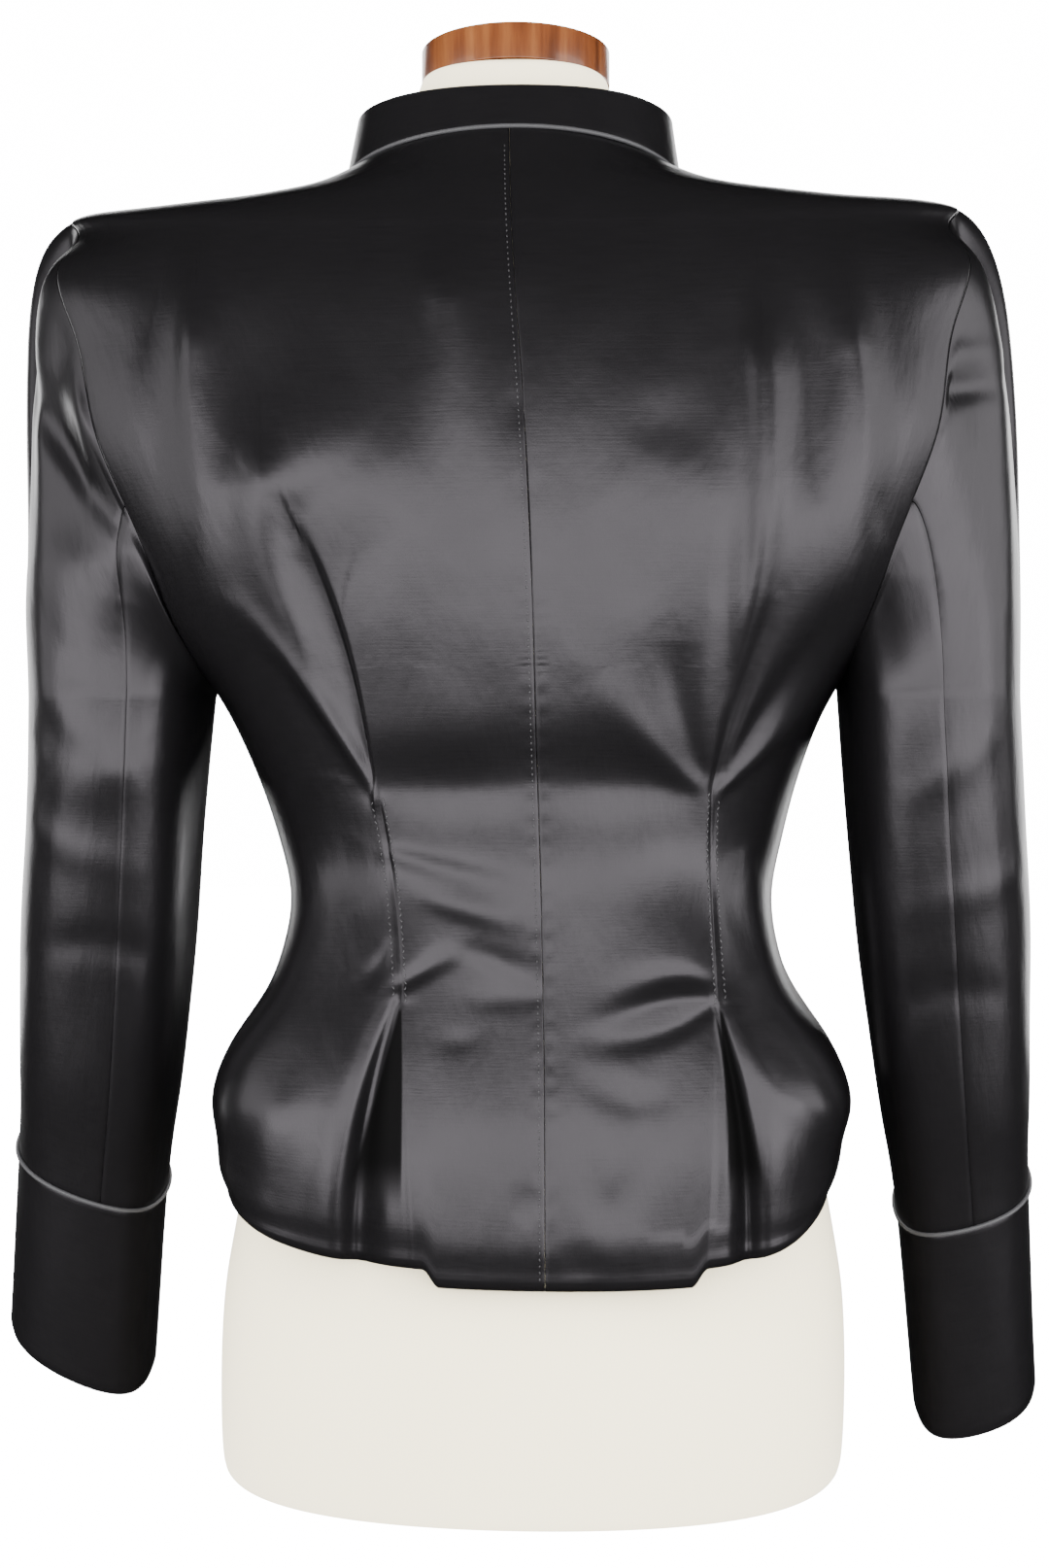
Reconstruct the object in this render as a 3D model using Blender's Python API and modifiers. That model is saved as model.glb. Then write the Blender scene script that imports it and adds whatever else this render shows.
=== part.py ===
"""Blazer on a dress form, in metres, standing on the form's flat base.

+Z is up, the front of the blazer faces -Y and the wearer's left is +X.
The origin is the centre of the base. Tables are in millimetres.
"""
import math

import bpy
import numpy as np

MM = 0.001

# Driving dimensions, in millimetres
CLOTH = 2.0              # wall of the satin with its backing
SEAM_GAP = 0.3           # between two pieces at a seam
HEAD_GAP = 0.6           # added to the seam gap over the sleeve head, where the cloth turns
HALF_GAP = 0.2           # each panel's share of the gap at a long seam
SQUARENESS = 0.12        # how far a front or form section is squarer than an ellipse
SLEEVE_SQUARENESS = 0.2  # the same for a sleeve
ARMPIT = 396.0           # height of the underarm point
SHOULDER_TIP = 637.0     # height of the shoulder's outer end
NECKLINE = 658.0         # section number of the neck seam
HEM = 125.0              # section number of the hem
HEM_ROLL = 5.0           # radius of the turned-in hem
TAIL_DROP = 8.0          # the centre back hangs this much lower, as a short tail
TAIL_INSET = 10.0        # each side of the tail starts this far inside the tuck line
TAIL_SIDE = 8.0          # and slants in by this much to its foot
HEM_SAG = 3.0            # the back hem sags this far below an even curve, between side and centre
BACK_SCYE = 39.5         # depth of the back armhole, degrees of the section
FRONT_SCYE = 30.0        # depth of the front armhole, degrees of the section
SCYE_POWER = 0.8         # below 1 the armhole is fuller than an ellipse
OVERLAP = 18.0           # each front runs this far past the centre front
UNDERLAY = 3.3           # the left front lies this far under the right one
HEAD_REACH = {"left": 44.0, "right": 34.0}     # how full each sleeve head stands out
CUFF_DEPTH = 96.0
PIPING = 1.1             # radius of the piping
COLLAR_SIDE = 33.0       # height of the collar at the side of the neck
COLLAR_BACK = 22.0       # and at the centre back
COLLAR_FRONT = 27.0      # and at the centre front
COLLAR_LEAN = 0.07       # share by which the collar narrows to its top edge
COLLAR_OPEN = 4.0        # each collar end stands this far from the centre front
BUTTON = 9.0             # radius of a button
BUTTON_THICK = 3.2
BUTTON_SEAT = 0.4        # room for the hollow of the waist behind a flat button
BUTTON_HEIGHTS = (575.0, 508.0, 441.0, 374.0, 307.0)
CAP_RADIUS = 48.25
CAP_BOTTOM = 699.0
CAP_TOP = 717.0

# One row for each section of the body: where it lies at the side, centre back and
# centre front, its half widths, its depths from the axis, and how square the back is
SECTION_COLUMNS = ("section", "side_z", "back_z", "front_z", "back_w", "front_w", "back_d", "front_d",
                   "back_square")
SECTIONS = (
    (125, 152, 121, 140, 156.5, 156.5, 120, 117, 0.40),
    (143, 161, 141, 151, 159.0, 159.0, 117.5, 120, 0.40),
    (165, 173, 164, 168, 159.5, 159.5, 114, 121, 0.40),
    (190, 190, 190, 190, 159.5, 159.5, 108.5, 118, 0.40),
    (215, 215, 215, 215, 149.5, 149.5, 102, 110, 0.40),
    (240, 240, 240, 240, 133.0, 133.0, 95, 100, 0.38),
    (262, 262, 262, 262, 125.0, 125.0, 89, 93, 0.32),
    (285, 285, 285, 285, 122.5, 122.5, 84.5, 90, 0.22),
    (310, 310, 310, 310, 127.5, 127.5, 85, 92, 0.14),
    (340, 340, 340, 340, 136.0, 136.0, 90, 98, 0.16),
    (370, 370, 370, 370, 147.5, 147.5, 96, 107, 0.20),
    (396, 396, 396, 396, 160.5, 160.5, 100, 115, 0.25),
    (420, 420, 420, 420, 176.0, 174.0, 103, 120, 0.29),
    (445, 445, 445, 445, 193.0, 186.0, 105, 123, 0.30),
    (472, 472, 472, 472, 212.5, 197.0, 106.5, 123, 0.30),
    (510, 510, 510, 510, 233.5, 209.0, 107, 117, 0.30),
    (560, 562, 556, 546, 242.0, 221.0, 104, 108, 0.30),
    (598, 602, 588, 568, 243.0, 230.0, 98, 101, 0.27),
    (622, 620, 606, 579.5, 229.0, 225.0, 92, 96.5, 0.21),
    (637, 631, 617, 588, 209.0, 209.0, 87.5, 93, 0.15),
    (643, 630.5, 629, 592, 168.0, 168.0, 81.5, 91, 0.13),
    (650, 633.5, 642, 597, 124.0, 124.0, 74, 88.5, 0.12),
    (658, 646.0, 660, 602, 86.5, 86.5, 65, 85.5, 0.12),
)

# The centre-back seam drifts to the wearer's right of the body's middle, and the
# whole body leans a little to the wearer's left on its way up
DRIFT_COLUMNS = ("height", "x")
DRIFT = ((113, -11.0), (209, -10.0), (284, -9.0), (345, -9.0), (418, -9.8), (480, -9.0),
         (512, -8.2), (559, -6.0), (610, -3.5), (661, -1.5))
LEAN_COLUMNS = ("height", "x")
LEAN = ((0, -4.0), (200, -4.5), (300, -3.0), (400, 0.0), (560, 4.0), (650, 5.5), (717, 4.5))

# One row for each fold of the back: side (1 left, -1 right), its way as distances from the
# centre-back seam at its top, middle and foot, and its relief there (minus is a hollow)
FOLD_COLUMNS = ("side", "top_z", "low_z", "top_p", "mid_p", "low_p", "top_h", "mid_h", "low_h", "width")
FOLDS = (
    (1, 500, 330, 112, 93, 78, -0.5, -4.5, -3.0, 11),
    (1, 520, 330, 128, 114, 85, 1.0, 4.5, 2.5, 16),
    (-1, 480, 330, 124, 113, 89, -0.5, -4.5, -3.0, 10),
    (-1, 550, 330, 110, 97, 82, 0.5, 3.5, 2.0, 12),
    (-1, 440, 330, 152, 124, 97, 1.0, 4.0, 1.5, 14),
    (1, 340, 236, 78, 71, 66, 1.5, 1.5, 1.5, 5),
    (-1, 340, 236, 84, 81, 82, 1.5, 1.5, 1.5, 5),
    (1, 236, 100, 71, 73, 74, -1.5, -7.0, -8.0, 7),
    (-1, 236, 100, 87, 90, 92, -1.5, -7.0, -8.0, 7),
    (1, 240, 100, 94, 97, 98, 0.0, 4.0, 4.0, 18),
    (-1, 240, 100, 110, 113, 114, 0.0, 4.0, 4.0, 18),
    (1, 236, 100, 61, 62, 62, 0.5, 2.5, 3.0, 8),
    (-1, 236, 100, 77, 79, 80, 0.5, 2.5, 3.0, 8),
)
TUCK_COLUMNS = ("height", "left", "right")
TUCKS = ((100, 68, 86), (236, 67, 83), (298, 71, 81), (340, 78, 84), (420, 96, 102), (520, 118, 114),
         (661, 118, 114))

# One row for each ring of a sleeve: its centre, half width, half depth, how far its
# outer point lies above the centre and how far its back point lies below
SLEEVE_COLUMNS = ("ring", "x", "y", "z", "half_w", "half_d", "outer_rise", "back_drop")
SLEEVES = {
    "left": (
        (0, 207.5, 4, 385, 44.0, 62, 0, 0),
        (1, 211.0, 1.5, 330, 43.0, 57, 0, 0),
        (2, 215.0, -3, 280, 43.0, 54, 1, 1),
        (3, 219.5, -9, 230, 42.0, 50, 3, 3),
        (4, 224.0, -16, 185, 39.5, 47, 8, 7),
        (5, 229.5, -23, 142, 37.0, 44, 17, 11),
        (6, 238.0, -34, 46, 36.5, 42, 20, 12),
    ),
    "right": (
        (0, 205.0, 4, 385, 44.5, 62, 0, 0),
        (1, 208.5, 1.5, 327, 44.0, 57, 0, 0),
        (2, 212.5, -3, 274, 43.0, 54, 1, 1),
        (3, 217.0, -9, 221, 40.0, 50, 3, 3),
        (4, 221.5, -16, 174, 36.5, 47, 7, 7),
        (5, 226.0, -23, 131, 33.0, 44, 12, 11),
        (6, 234.0, -34, 25, 30.5, 42, 12, 12),
    ),
}
BACK_SEAM = 105          # round the armhole from the shoulder tip, degrees
FRONT_SEAM = 240
SEAM_SWING = {"left": -3.0, "right": 15.0}      # the back seam lies this far outwards on the arm, degrees

# One row for each section of the dress form
FORM_COLUMNS = ("side_z", "back_z", "front_z", "half_w", "back_d", "front_d")
FORM = (
    (0, 0, 0, 153.5, 121.5, 115.5),
    (3.5, 3.5, 3.5, 157, 125, 119),
    (30, 30, 30, 158.5, 127, 121),
    (60, 60, 60, 158.5, 124, 120),
    (88, 86, 88, 157, 117, 116),
    (112, 104, 110, 153.5, 107.5, 109),
    (138, 120, 128, 149, 101.5, 105.5),
    (160, 150, 155, 146.5, 101.5, 105.5),
    (190, 190, 190, 146, 97, 107),
    (215, 215, 215, 137.5, 93, 101),
    (240, 240, 240, 125, 89, 92),
    (262, 262, 262, 117.5, 82.5, 85),
    (285, 285, 285, 115.5, 78, 82),
    (310, 310, 310, 120, 78, 84),
    (340, 340, 340, 128.5, 80, 90),
    (370, 370, 370, 140, 85, 99),
    (396, 396, 396, 151, 89, 107),
    (440, 440, 440, 158, 94, 114),
    (480, 480, 480, 164, 96, 113.5),
    (520, 520, 516, 170, 96, 107),
    (560, 555, 540, 176, 94, 100),
    (593, 583, 560, 180, 90, 93.5),
    (611, 598, 570, 177, 85.5, 89.5),
    (622.5, 611, 578, 167, 81, 87),
    (628.75, 623, 584, 148, 76.5, 85),
    (631.3, 636, 589.5, 121, 69.5, 82.5),
    (639, 650, 596, 87, 60.5, 78.5),
    (649, 659.5, 609, 69, 56, 67),
    (661, 668, 635, 59, 52, 57),
    (680, 681, 668, 53.5, 50, 52),
    (698.5, 698.5, 698.5, 48, 47.5, 48),
)

# How many spans each piece has; a sleeve has SCYE_SPANS * 2 round it
SCYE_SPANS = 12
BODY_SECTIONS = (145, 167, 188, 208, 226, 243, 262, 285, 308, 333, 361)
SHOULDER_SECTIONS = (640, 645, 651, 658)
CAP_SHARES = (0.0, 0.02, 0.12, 0.27, 0.45, 0.65, 0.83, 1.0)
SLEEVE_SPANS = 8
CUFF_SPANS = 3
FORM_SPANS = 30
# Columns of a back beside its tuck line, and shares of the way either side of them
TUCK_COLUMNS_AT = (-18, -10, -5, 0, 4, 8, 13, 21, 32)
CENTRE_SHARES = (0.0, 0.36, 0.72)
OUTER_SHARES = (0.22, 0.47, 0.73, 0.95, 1.0)

SATIN = ("black_satin", (0.013, 0.0125, 0.014), 0.34, 0.0)
PIPING_FINISH = ("grey_piping", (0.20, 0.20, 0.21), 0.45, 0.0)
LINEN = ("cream_jersey", (0.86, 0.83, 0.74), 0.85, 0.0)
WOOD = ("varnished_wood", (0.42, 0.17, 0.045), 0.35, 0.0)
BUTTON_FINISH = ("black_button", (0.012, 0.012, 0.013), 0.22, 0.0)


def smooth_curve(knots, values):
    """Return the natural cubic spline through the values at the knots."""
    knots = np.array(knots, dtype=float)
    values = np.array(values, dtype=float)
    step = np.diff(knots)
    count = len(knots)
    matrix = np.eye(count)
    bend = np.zeros(count)
    for i in range(1, count - 1):
        matrix[i, i - 1:i + 2] = (step[i - 1] / 6, (step[i - 1] + step[i]) / 3, step[i] / 6)
        bend[i] = (values[i + 1] - values[i]) / step[i] - (values[i] - values[i - 1]) / step[i - 1]
    bend = np.linalg.solve(matrix, bend)

    def at(place):
        place = min(max(place, knots[0]), knots[-1])
        i = min(max(int(np.searchsorted(knots, place)) - 1, 0), count - 2)
        high = (place - knots[i]) / step[i]
        low = 1 - high
        curve = (low ** 3 - low) * bend[i] + (high ** 3 - high) * bend[i + 1]
        return low * values[i] + high * values[i + 1] + curve * step[i] ** 2 / 6
    return at


def table_curves(columns, rows):
    """Return one smooth curve for each named column, over the first column."""
    knots = [row[0] for row in rows]
    return {name: smooth_curve(knots, [row[i] for row in rows]) for i, name in enumerate(columns) if i}


BODY = table_curves(SECTION_COLUMNS, SECTIONS)
SEAM_DRIFT = table_curves(DRIFT_COLUMNS, DRIFT)["x"]
BODY_LEAN = table_curves(LEAN_COLUMNS, LEAN)["x"]
TUCK = table_curves(TUCK_COLUMNS, TUCKS)
SLEEVE = {side: table_curves(SLEEVE_COLUMNS, rows) for side, rows in SLEEVES.items()}
FORM_CURVE = table_curves(("row",) + FORM_COLUMNS, [(i,) + row for i, row in enumerate(FORM)])


def smooth_step(share):
    """Rise smoothly from 0 to 1 as the share goes from 0 to 1."""
    share = min(max(share, 0.0), 1.0)
    return share * share * (3 - 2 * share)


def unit(vector):
    """Return the vector at length 1."""
    return vector / np.linalg.norm(vector)


def body_base(face, side, angle, section):
    """Return a point of the body before folds: face is back or front, side is 1 or -1."""
    width = BODY[face + "_w"](section)
    depth = BODY[face + "_d"](section)
    sine, cosine = math.sin(angle), math.cos(angle)
    side_z = BODY["side_z"](section)
    z = side_z + (BODY[face + "_z"](section) - side_z) * cosine ** 2
    square = BODY["back_square"](section) if face == "back" else SQUARENESS
    x = side * width * sine * (1 + square * cosine ** 2) + BODY_LEAN(z)
    y = depth * cosine * (1 + square * sine ** 2)
    if face == "back":
        sag = HEM_SAG * (2 * sine * cosine) ** 2 * (1 - smooth_step((section - HEM) / 84))
        return np.array([x + SEAM_DRIFT(z) * cosine ** 4, y, z - sag])
    return np.array([x, -y, z])


def body_normal(face, side, angle, section):
    """Return the outward normal of the unfolded body."""
    turn, rise = 0.01, 0.5
    low = max(section - rise, HEM)
    high = min(section + rise, NECKLINE)
    across = body_base(face, side, angle + turn, section) - body_base(face, side, angle - turn, section)
    up = body_base(face, side, angle, high) - body_base(face, side, angle, low)
    normal = unit(np.cross(across, up))
    outward = np.array([side * math.sin(angle), math.cos(angle) * (1 if face == "back" else -1), 0.3])
    return normal if np.dot(normal, outward) > 0 else -normal


def from_centre_back(side, point):
    """Return the distance of a point of the back from the centre-back seam."""
    return side * (point[0] - SEAM_DRIFT(point[2]) - BODY_LEAN(point[2]))


def fold_height(side, p, z):
    """Return how far the folds lift the back, p from the centre-back seam."""
    height = 0.0
    for row in FOLDS:
        fold = dict(zip(FOLD_COLUMNS, row))
        if fold["side"] != side:
            continue
        t = (fold["top_z"] - z) / (fold["top_z"] - fold["low_z"])
        fade = smooth_step(t * 5 + 0.5) * smooth_step((1 - t) * 5 + 0.5)
        if fade == 0.0:
            continue
        t = min(max(t, 0.0), 1.0)
        start, middle, end = (1 - t) * (1 - 2 * t), 4 * t * (1 - t), t * (2 * t - 1)
        path = fold["top_p"] * start + fold["mid_p"] * middle + fold["low_p"] * end
        relief = fold["top_h"] * start + fold["mid_h"] * middle + fold["low_h"] * end
        height += relief * fade * math.exp(-((p - path) / fold["width"]) ** 2)
    return height


def back_point(side, angle, section):
    """Return a point of the folded back."""
    base = body_base("back", side, angle, section)
    normal = body_normal("back", side, angle, section)
    p = from_centre_back(side, base)
    point = base + normal * fold_height(side, p, base[2])
    tail = smooth_step((TUCK["left" if side > 0 else "right"](base[2]) - TAIL_INSET - p) / TAIL_SIDE)
    point[2] -= TAIL_DROP * tail * smooth_step((190 - base[2]) / 60)
    return point


def front_point(side, angle, section):
    """Return a point of a front; the left one runs under the right one."""
    base = body_base("front", side, angle, section)
    if side > 0:
        under = 1 - smooth_step((base[0] - OVERLAP - 4) / 22)
        base = base - body_normal("front", side, angle, section) * UNDERLAY * under
        base[2] += HEM_ROLL * under * smooth_step((160 - base[2]) / 20)
    return base


def edge_angle(face, section):
    """Return where the panel ends round the section: side seam, armhole or shoulder seam."""
    if section <= ARMPIT or section >= SHOULDER_TIP:
        return math.pi / 2
    middle, half = (SHOULDER_TIP + ARMPIT) / 2, (SHOULDER_TIP - ARMPIT) / 2
    reach = BACK_SCYE if face == "back" else FRONT_SCYE
    share = 1 - (abs(section - middle) / half) ** (2 / SCYE_POWER)
    return math.pi / 2 - math.radians(reach) * share ** (SCYE_POWER / 2)


def scye_section(turn):
    """Return the section number at an angle round the armhole, 0 at the shoulder tip."""
    cosine = math.cos(turn)
    share = math.copysign(abs(cosine) ** SCYE_POWER, cosine)
    return (SHOULDER_TIP + ARMPIT) / 2 + (SHOULDER_TIP - ARMPIT) / 2 * share


def panel_sections():
    """Return the sections of a body panel, hem to neckline."""
    scye = [scye_section(math.pi * (1 - k / SCYE_SPANS)) for k in range(SCYE_SPANS + 1)]
    return [HEM] + list(BODY_SECTIONS) + scye + list(SHOULDER_SECTIONS)


def hem_rows(rows, normals):
    """Return the turned-in edge below the first row of points."""
    rolled = []
    for degrees in (90, 60, 30):
        turn = math.radians(degrees)
        drop = np.array([0, 0, -HEM_ROLL * math.sin(turn)])
        rolled.append([p - n * HEM_ROLL * (1 - math.cos(turn)) + drop for p, n in zip(rows[0], normals)])
    return rolled + rows


def new_material(finish):
    """Return the named material with its colour, roughness and metallic value."""
    name, colour, roughness, metallic = finish
    material = bpy.data.materials.get(name) or bpy.data.materials.new(name)
    material.use_nodes = True
    shader = material.node_tree.nodes["Principled BSDF"]
    shader.inputs["Base Color"].default_value = (*colour, 1.0)
    shader.inputs["Roughness"].default_value = roughness
    shader.inputs["Metallic"].default_value = metallic
    material.diffuse_color = (*colour, 1.0)
    return material


def new_object(name, data, finish, collection):
    """Link a new object with its material to the collection."""
    data.materials.append(new_material(finish))
    piece = bpy.data.objects.new(name, data)
    collection.objects.link(piece)
    return piece


def cloth(name, rows, finish, collection, closed=False, flip=False):
    """Make a cloth wall on a grid of outer points, thickened inwards."""
    across = len(rows[0])
    points = [tuple(p * MM) for row in rows for p in row]
    faces = []
    for j in range(len(rows) - 1):
        for i in range(across if closed else across - 1):
            k = (i + 1) % across
            quad = (j * across + i, j * across + k, (j + 1) * across + k, (j + 1) * across + i)
            faces.append(quad[::-1] if flip else quad)
    mesh = bpy.data.meshes.new(name)
    mesh.from_pydata(points, [], faces)
    mesh.shade_smooth()
    piece = new_object(name, mesh, finish, collection)
    wall = piece.modifiers.new("wall", "SOLIDIFY")
    wall.thickness = CLOTH * MM
    wall.offset = -1.0
    wall.use_quality_normals = True
    return piece


def angle_at(side, p, section):
    """Return the angle round a back section at p from the centre-back seam."""
    low, high = 0.0, math.pi / 2
    for _ in range(24):
        middle = (low + high) / 2
        if from_centre_back(side, body_base("back", side, middle, section)) < p:
            low = middle
        else:
            high = middle
    return (low + high) / 2


def back_columns(side, section):
    """Return the angles across a back panel, closer together at the tuck."""
    depth = BODY["back_d"](section)
    end = edge_angle("back", section) - HALF_GAP / depth
    edge = body_base("back", side, end, section)
    reach = from_centre_back(side, edge)
    tuck = min(TUCK["left" if side > 0 else "right"](edge[2]), 0.55 * reach)
    scale = min(1.0, reach / 150)
    beside = [tuck + scale * offset for offset in TUCK_COLUMNS_AT]
    centre = [HALF_GAP + (beside[0] - HALF_GAP) * share for share in CENTRE_SHARES]
    start = angle_at(side, beside[-1], section)
    outer = [start + (end - start) * share for share in OUTER_SHARES]
    return [angle_at(side, p, section) for p in centre + beside] + outer


def front_columns(side, section):
    """Return the angles across a front, from past the centre to its edge."""
    edge = edge_angle("front", section)
    width, depth = BODY["front_w"](section), BODY["front_d"](section)
    near = [math.asin(x / width / (1 + SQUARENESS)) for x in (-OVERLAP, 0, OVERLAP + 4, 46)]
    end = edge - HALF_GAP / depth
    far = [near[-1] + (end - near[-1]) * share for share in (0.22, 0.44, 0.66, 0.84, 0.96, 1.0)]
    return near + far


def make_panel(name, face, side, collection):
    """Make a back or a front, from the hem to the neckline."""
    place = back_point if face == "back" else front_point
    columns = back_columns if face == "back" else front_columns
    rows = []
    for section in panel_sections():
        angles = columns(side, section)
        rows.append([place(side, angle, section) for angle in angles])
    normals = [body_normal(face, side, angle, HEM) for angle in columns(side, HEM)]
    rows = hem_rows(rows, normals)
    outward = side if face == "front" else -side
    cloth(name, rows, SATIN, collection, flip=outward < 0)


def scye_point(side, turn):
    """Return the armhole seam at an angle round it, with its normal and way outwards."""
    turn = turn % (2 * math.pi)
    face = "back" if turn <= math.pi else "front"
    section = scye_section(turn)
    place = back_point if face == "back" else front_point
    angle = edge_angle(face, section)
    point = place(side, angle, section)
    normal = body_normal(face, side, angle, section)
    along = []
    for near_turn in (turn - 0.03, turn + 0.03):
        near = "back" if near_turn % (2 * math.pi) <= math.pi else "front"
        at = scye_section(near_turn)
        along.append(body_base(near, side, edge_angle(near, at), at))
    outward = unit(np.cross(normal, unit(along[1] - along[0])))
    inside = body_base(face, side, angle - 0.05, section)
    if np.dot(outward, point - inside) < 0:
        outward = -outward
    return point, normal, outward


def sleeve_ring(side, turn, ring):
    """Return a point of the sleeve below the armhole."""
    name = "left" if side > 0 else "right"
    part = {key: curve(ring) for key, curve in SLEEVE[name].items()}
    cosine, sine = math.cos(turn), math.sin(turn)
    x = side * (part["x"] + part["half_w"] * cosine * (1 + SLEEVE_SQUARENESS * sine ** 2))
    y = part["y"] + part["half_d"] * sine * (1 + SLEEVE_SQUARENESS * cosine ** 2)
    z = part["z"] + part["outer_rise"] * cosine - part["back_drop"] * sine
    return np.array([x, y, z])


def arm_angle(side, turn):
    """Return the angle round the arm that an angle round the armhole leads to."""
    degrees = math.degrees(turn) % 360
    most = SEAM_SWING["left" if side > 0 else "right"]
    swing = most * math.sin(math.pi * degrees / FRONT_SEAM) if degrees < FRONT_SEAM else 0.0
    return turn - math.radians(swing)


def sleeve_head(side, turn, share):
    """Return a point of the sleeve between the armhole and its first full ring."""
    seam, normal, outward = scye_point(side, turn)
    arm_turn = arm_angle(side, turn)
    from_top = abs((math.degrees(turn) + 180) % 360 - 180)
    fold = math.radians(165 * smooth_step((from_top - 70) / 110))
    way = outward * math.cos(fold) + normal * math.sin(fold)
    gap_way = unit(outward * max(math.cos(fold), 0.0) + normal * math.sin(fold) + outward * 0.001)
    head = 1 - smooth_step((from_top - 40) / 40)
    start = seam + gap_way * (SEAM_GAP + HEAD_GAP * head)
    end = sleeve_ring(side, arm_turn, 0)
    drop = start[2] - end[2]
    top = smooth_step(1 - from_top / 180)
    reach = 3.5 + (HEAD_REACH["left" if side > 0 else "right"] - 3.5) * top ** 2
    rise = drop * (0.4 + 0.35 * top)
    near = start + way * reach
    far = end + np.array([0, 0, rise])
    rest = 1 - share
    return rest ** 3 * start + 3 * rest ** 2 * share * near + 3 * rest * share ** 2 * far + share ** 3 * end


def sleeve_rows(side, turns):
    """Return the rows of a sleeve piece, armhole to cuff seam."""
    rows = [[sleeve_head(side, turn, share) for turn in turns] for share in CAP_SHARES]
    for k in range(1, SLEEVE_SPANS + 1):
        rows.append([sleeve_ring(side, arm_angle(side, turn), 5 * k / SLEEVE_SPANS) for turn in turns])
    return rows


def make_sleeve(name, side, collection):
    """Make the top and under sleeve, the cuff and its piping."""
    nudge, close = math.radians(0.25), math.radians(3)
    spread = math.pi / SCYE_SPANS
    back, front = math.radians(BACK_SEAM), math.radians(FRONT_SEAM)
    for piece, start, end in (("under", back, front), ("top", front, back + 2 * math.pi)):
        spans = round((end - start) / spread)
        turns = [start + nudge, start + close] + [start + spread * k for k in range(1, spans)]
        turns += [end - close, end - nudge]
        cloth(f"sleeve_{piece}_{name}", sleeve_rows(side, turns), SATIN, collection, flip=side > 0)
    turns = sorted([spread * k for k in range(2 * SCYE_SPANS)]
                   + [back - close, back + close, front - close, front + close])
    gap = SEAM_GAP / CUFF_DEPTH
    shares = [gap + (1 - gap) * k / CUFF_SPANS for k in range(CUFF_SPANS + 1)]
    rows = [[sleeve_ring(side, arm_angle(side, turn), 5 + share) for turn in turns] for share in shares]
    cloth(f"cuff_{name}", rows, SATIN, collection, closed=True, flip=side > 0)
    centre = np.array([side * SLEEVE[name]["x"](5), SLEEVE[name]["y"](5), SLEEVE[name]["z"](5)])
    path = []
    for turn in turns:
        point = sleeve_ring(side, arm_angle(side, turn), 5)
        out = point - centre
        out[2] = 0
        path.append(point + unit(out) * (PIPING + SEAM_GAP))
    make_cord(f"cuff_piping_{name}", path, True, collection)


def make_cord(name, path, closed, collection):
    """Make a fine round piping along the path."""
    curve = bpy.data.curves.new(name, "CURVE")
    curve.dimensions = "3D"
    curve.bevel_depth = PIPING * MM
    curve.bevel_resolution = 1
    curve.use_fill_caps = not closed
    spline = curve.splines.new("POLY")
    spline.points.add(len(path) - 1)
    for knot, point in zip(spline.points, path):
        knot.co = (*(point * MM), 1.0)
    spline.use_cyclic_u = closed
    new_object(name, curve, PIPING_FINISH, collection)


def neck_turns():
    """Return the angles round the neck seam, from one collar end to the other."""
    start = math.asin(COLLAR_OPEN / BODY["front_w"](NECKLINE))
    front = [start] + [turn for turn in front_columns(1, NECKLINE) if turn > 2 * start]
    left = [math.pi - turn for turn in reversed(back_columns(1, NECKLINE))]
    right = [math.pi + turn for turn in back_columns(-1, NECKLINE)]
    return front + left + right + [2 * math.pi - turn for turn in reversed(front)]


def neck_point(turn):
    """Return the neck seam at an angle from the centre front, with the body's normal."""
    side = 1 if turn <= math.pi else -1
    from_front = turn if turn <= math.pi else 2 * math.pi - turn
    if from_front <= math.pi / 2:
        return (body_base("front", side, from_front, NECKLINE),
                body_normal("front", side, min(from_front, 1.55), NECKLINE - 1))
    angle = math.pi - from_front
    return body_base("back", side, angle, NECKLINE), body_normal("back", side, min(angle, 1.55), NECKLINE - 1)


def collar_point(turn, share):
    """Return a point of the standing collar, share 0 at the seam and 1 at its top."""
    seam = neck_point(turn)[0]
    end = COLLAR_FRONT if math.cos(turn) > 0 else COLLAR_BACK
    height = end + (COLLAR_SIDE - end) * math.sin(turn) ** 2
    narrow = 1 - COLLAR_LEAN * share
    return np.array([seam[0] * narrow, seam[1] * narrow, seam[2] + 2 * SEAM_GAP + height * share])


def make_collar(collection):
    """Make the standing collar and the piping in its seam."""
    turns = neck_turns()
    rows = [[collar_point(turn, share) for turn in turns] for share in (0, 0.33, 0.67, 1.0)]
    cloth("collar", rows, SATIN, collection)
    path = []
    for turn in turns:
        seam, normal = neck_point(turn)
        upright = unit(np.array([seam[0], seam[1], 12.0]))
        reach = (PIPING + 0.45) / (1 + np.dot(upright, normal))
        path.append(seam + (upright + normal) * reach)
    make_cord("neck_piping", path, False, collection)


def make_buttons(collection):
    """Make the buttons on the centre front of the right front."""
    for number, height in enumerate(BUTTON_HEIGHTS, 1):
        section = height
        while body_base("front", -1, 0.0, section)[2] < height:
            section += 0.5
        seat = body_base("front", -1, 0.0, section)
        normal = body_normal("front", -1, 0.0, section)
        centre = seat + normal * (SEAM_GAP + BUTTON_SEAT + BUTTON_THICK / 2)
        tilt = math.asin(normal[2])
        bpy.ops.mesh.primitive_cylinder_add(vertices=16, radius=BUTTON * MM, depth=BUTTON_THICK * MM,
                                            location=tuple(centre * MM),
                                            rotation=(math.pi / 2 - tilt, 0, 0))
        button = bpy.context.object
        button.name = f"button_{number}"
        button.data.materials.append(new_material(BUTTON_FINISH))
        for owner in button.users_collection:
            owner.objects.unlink(button)
        collection.objects.link(button)
        rim = button.modifiers.new("rim", "BEVEL")
        rim.width = 0.8 * MM
        rim.segments = 1
        rim.limit_method = "ANGLE"


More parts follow.
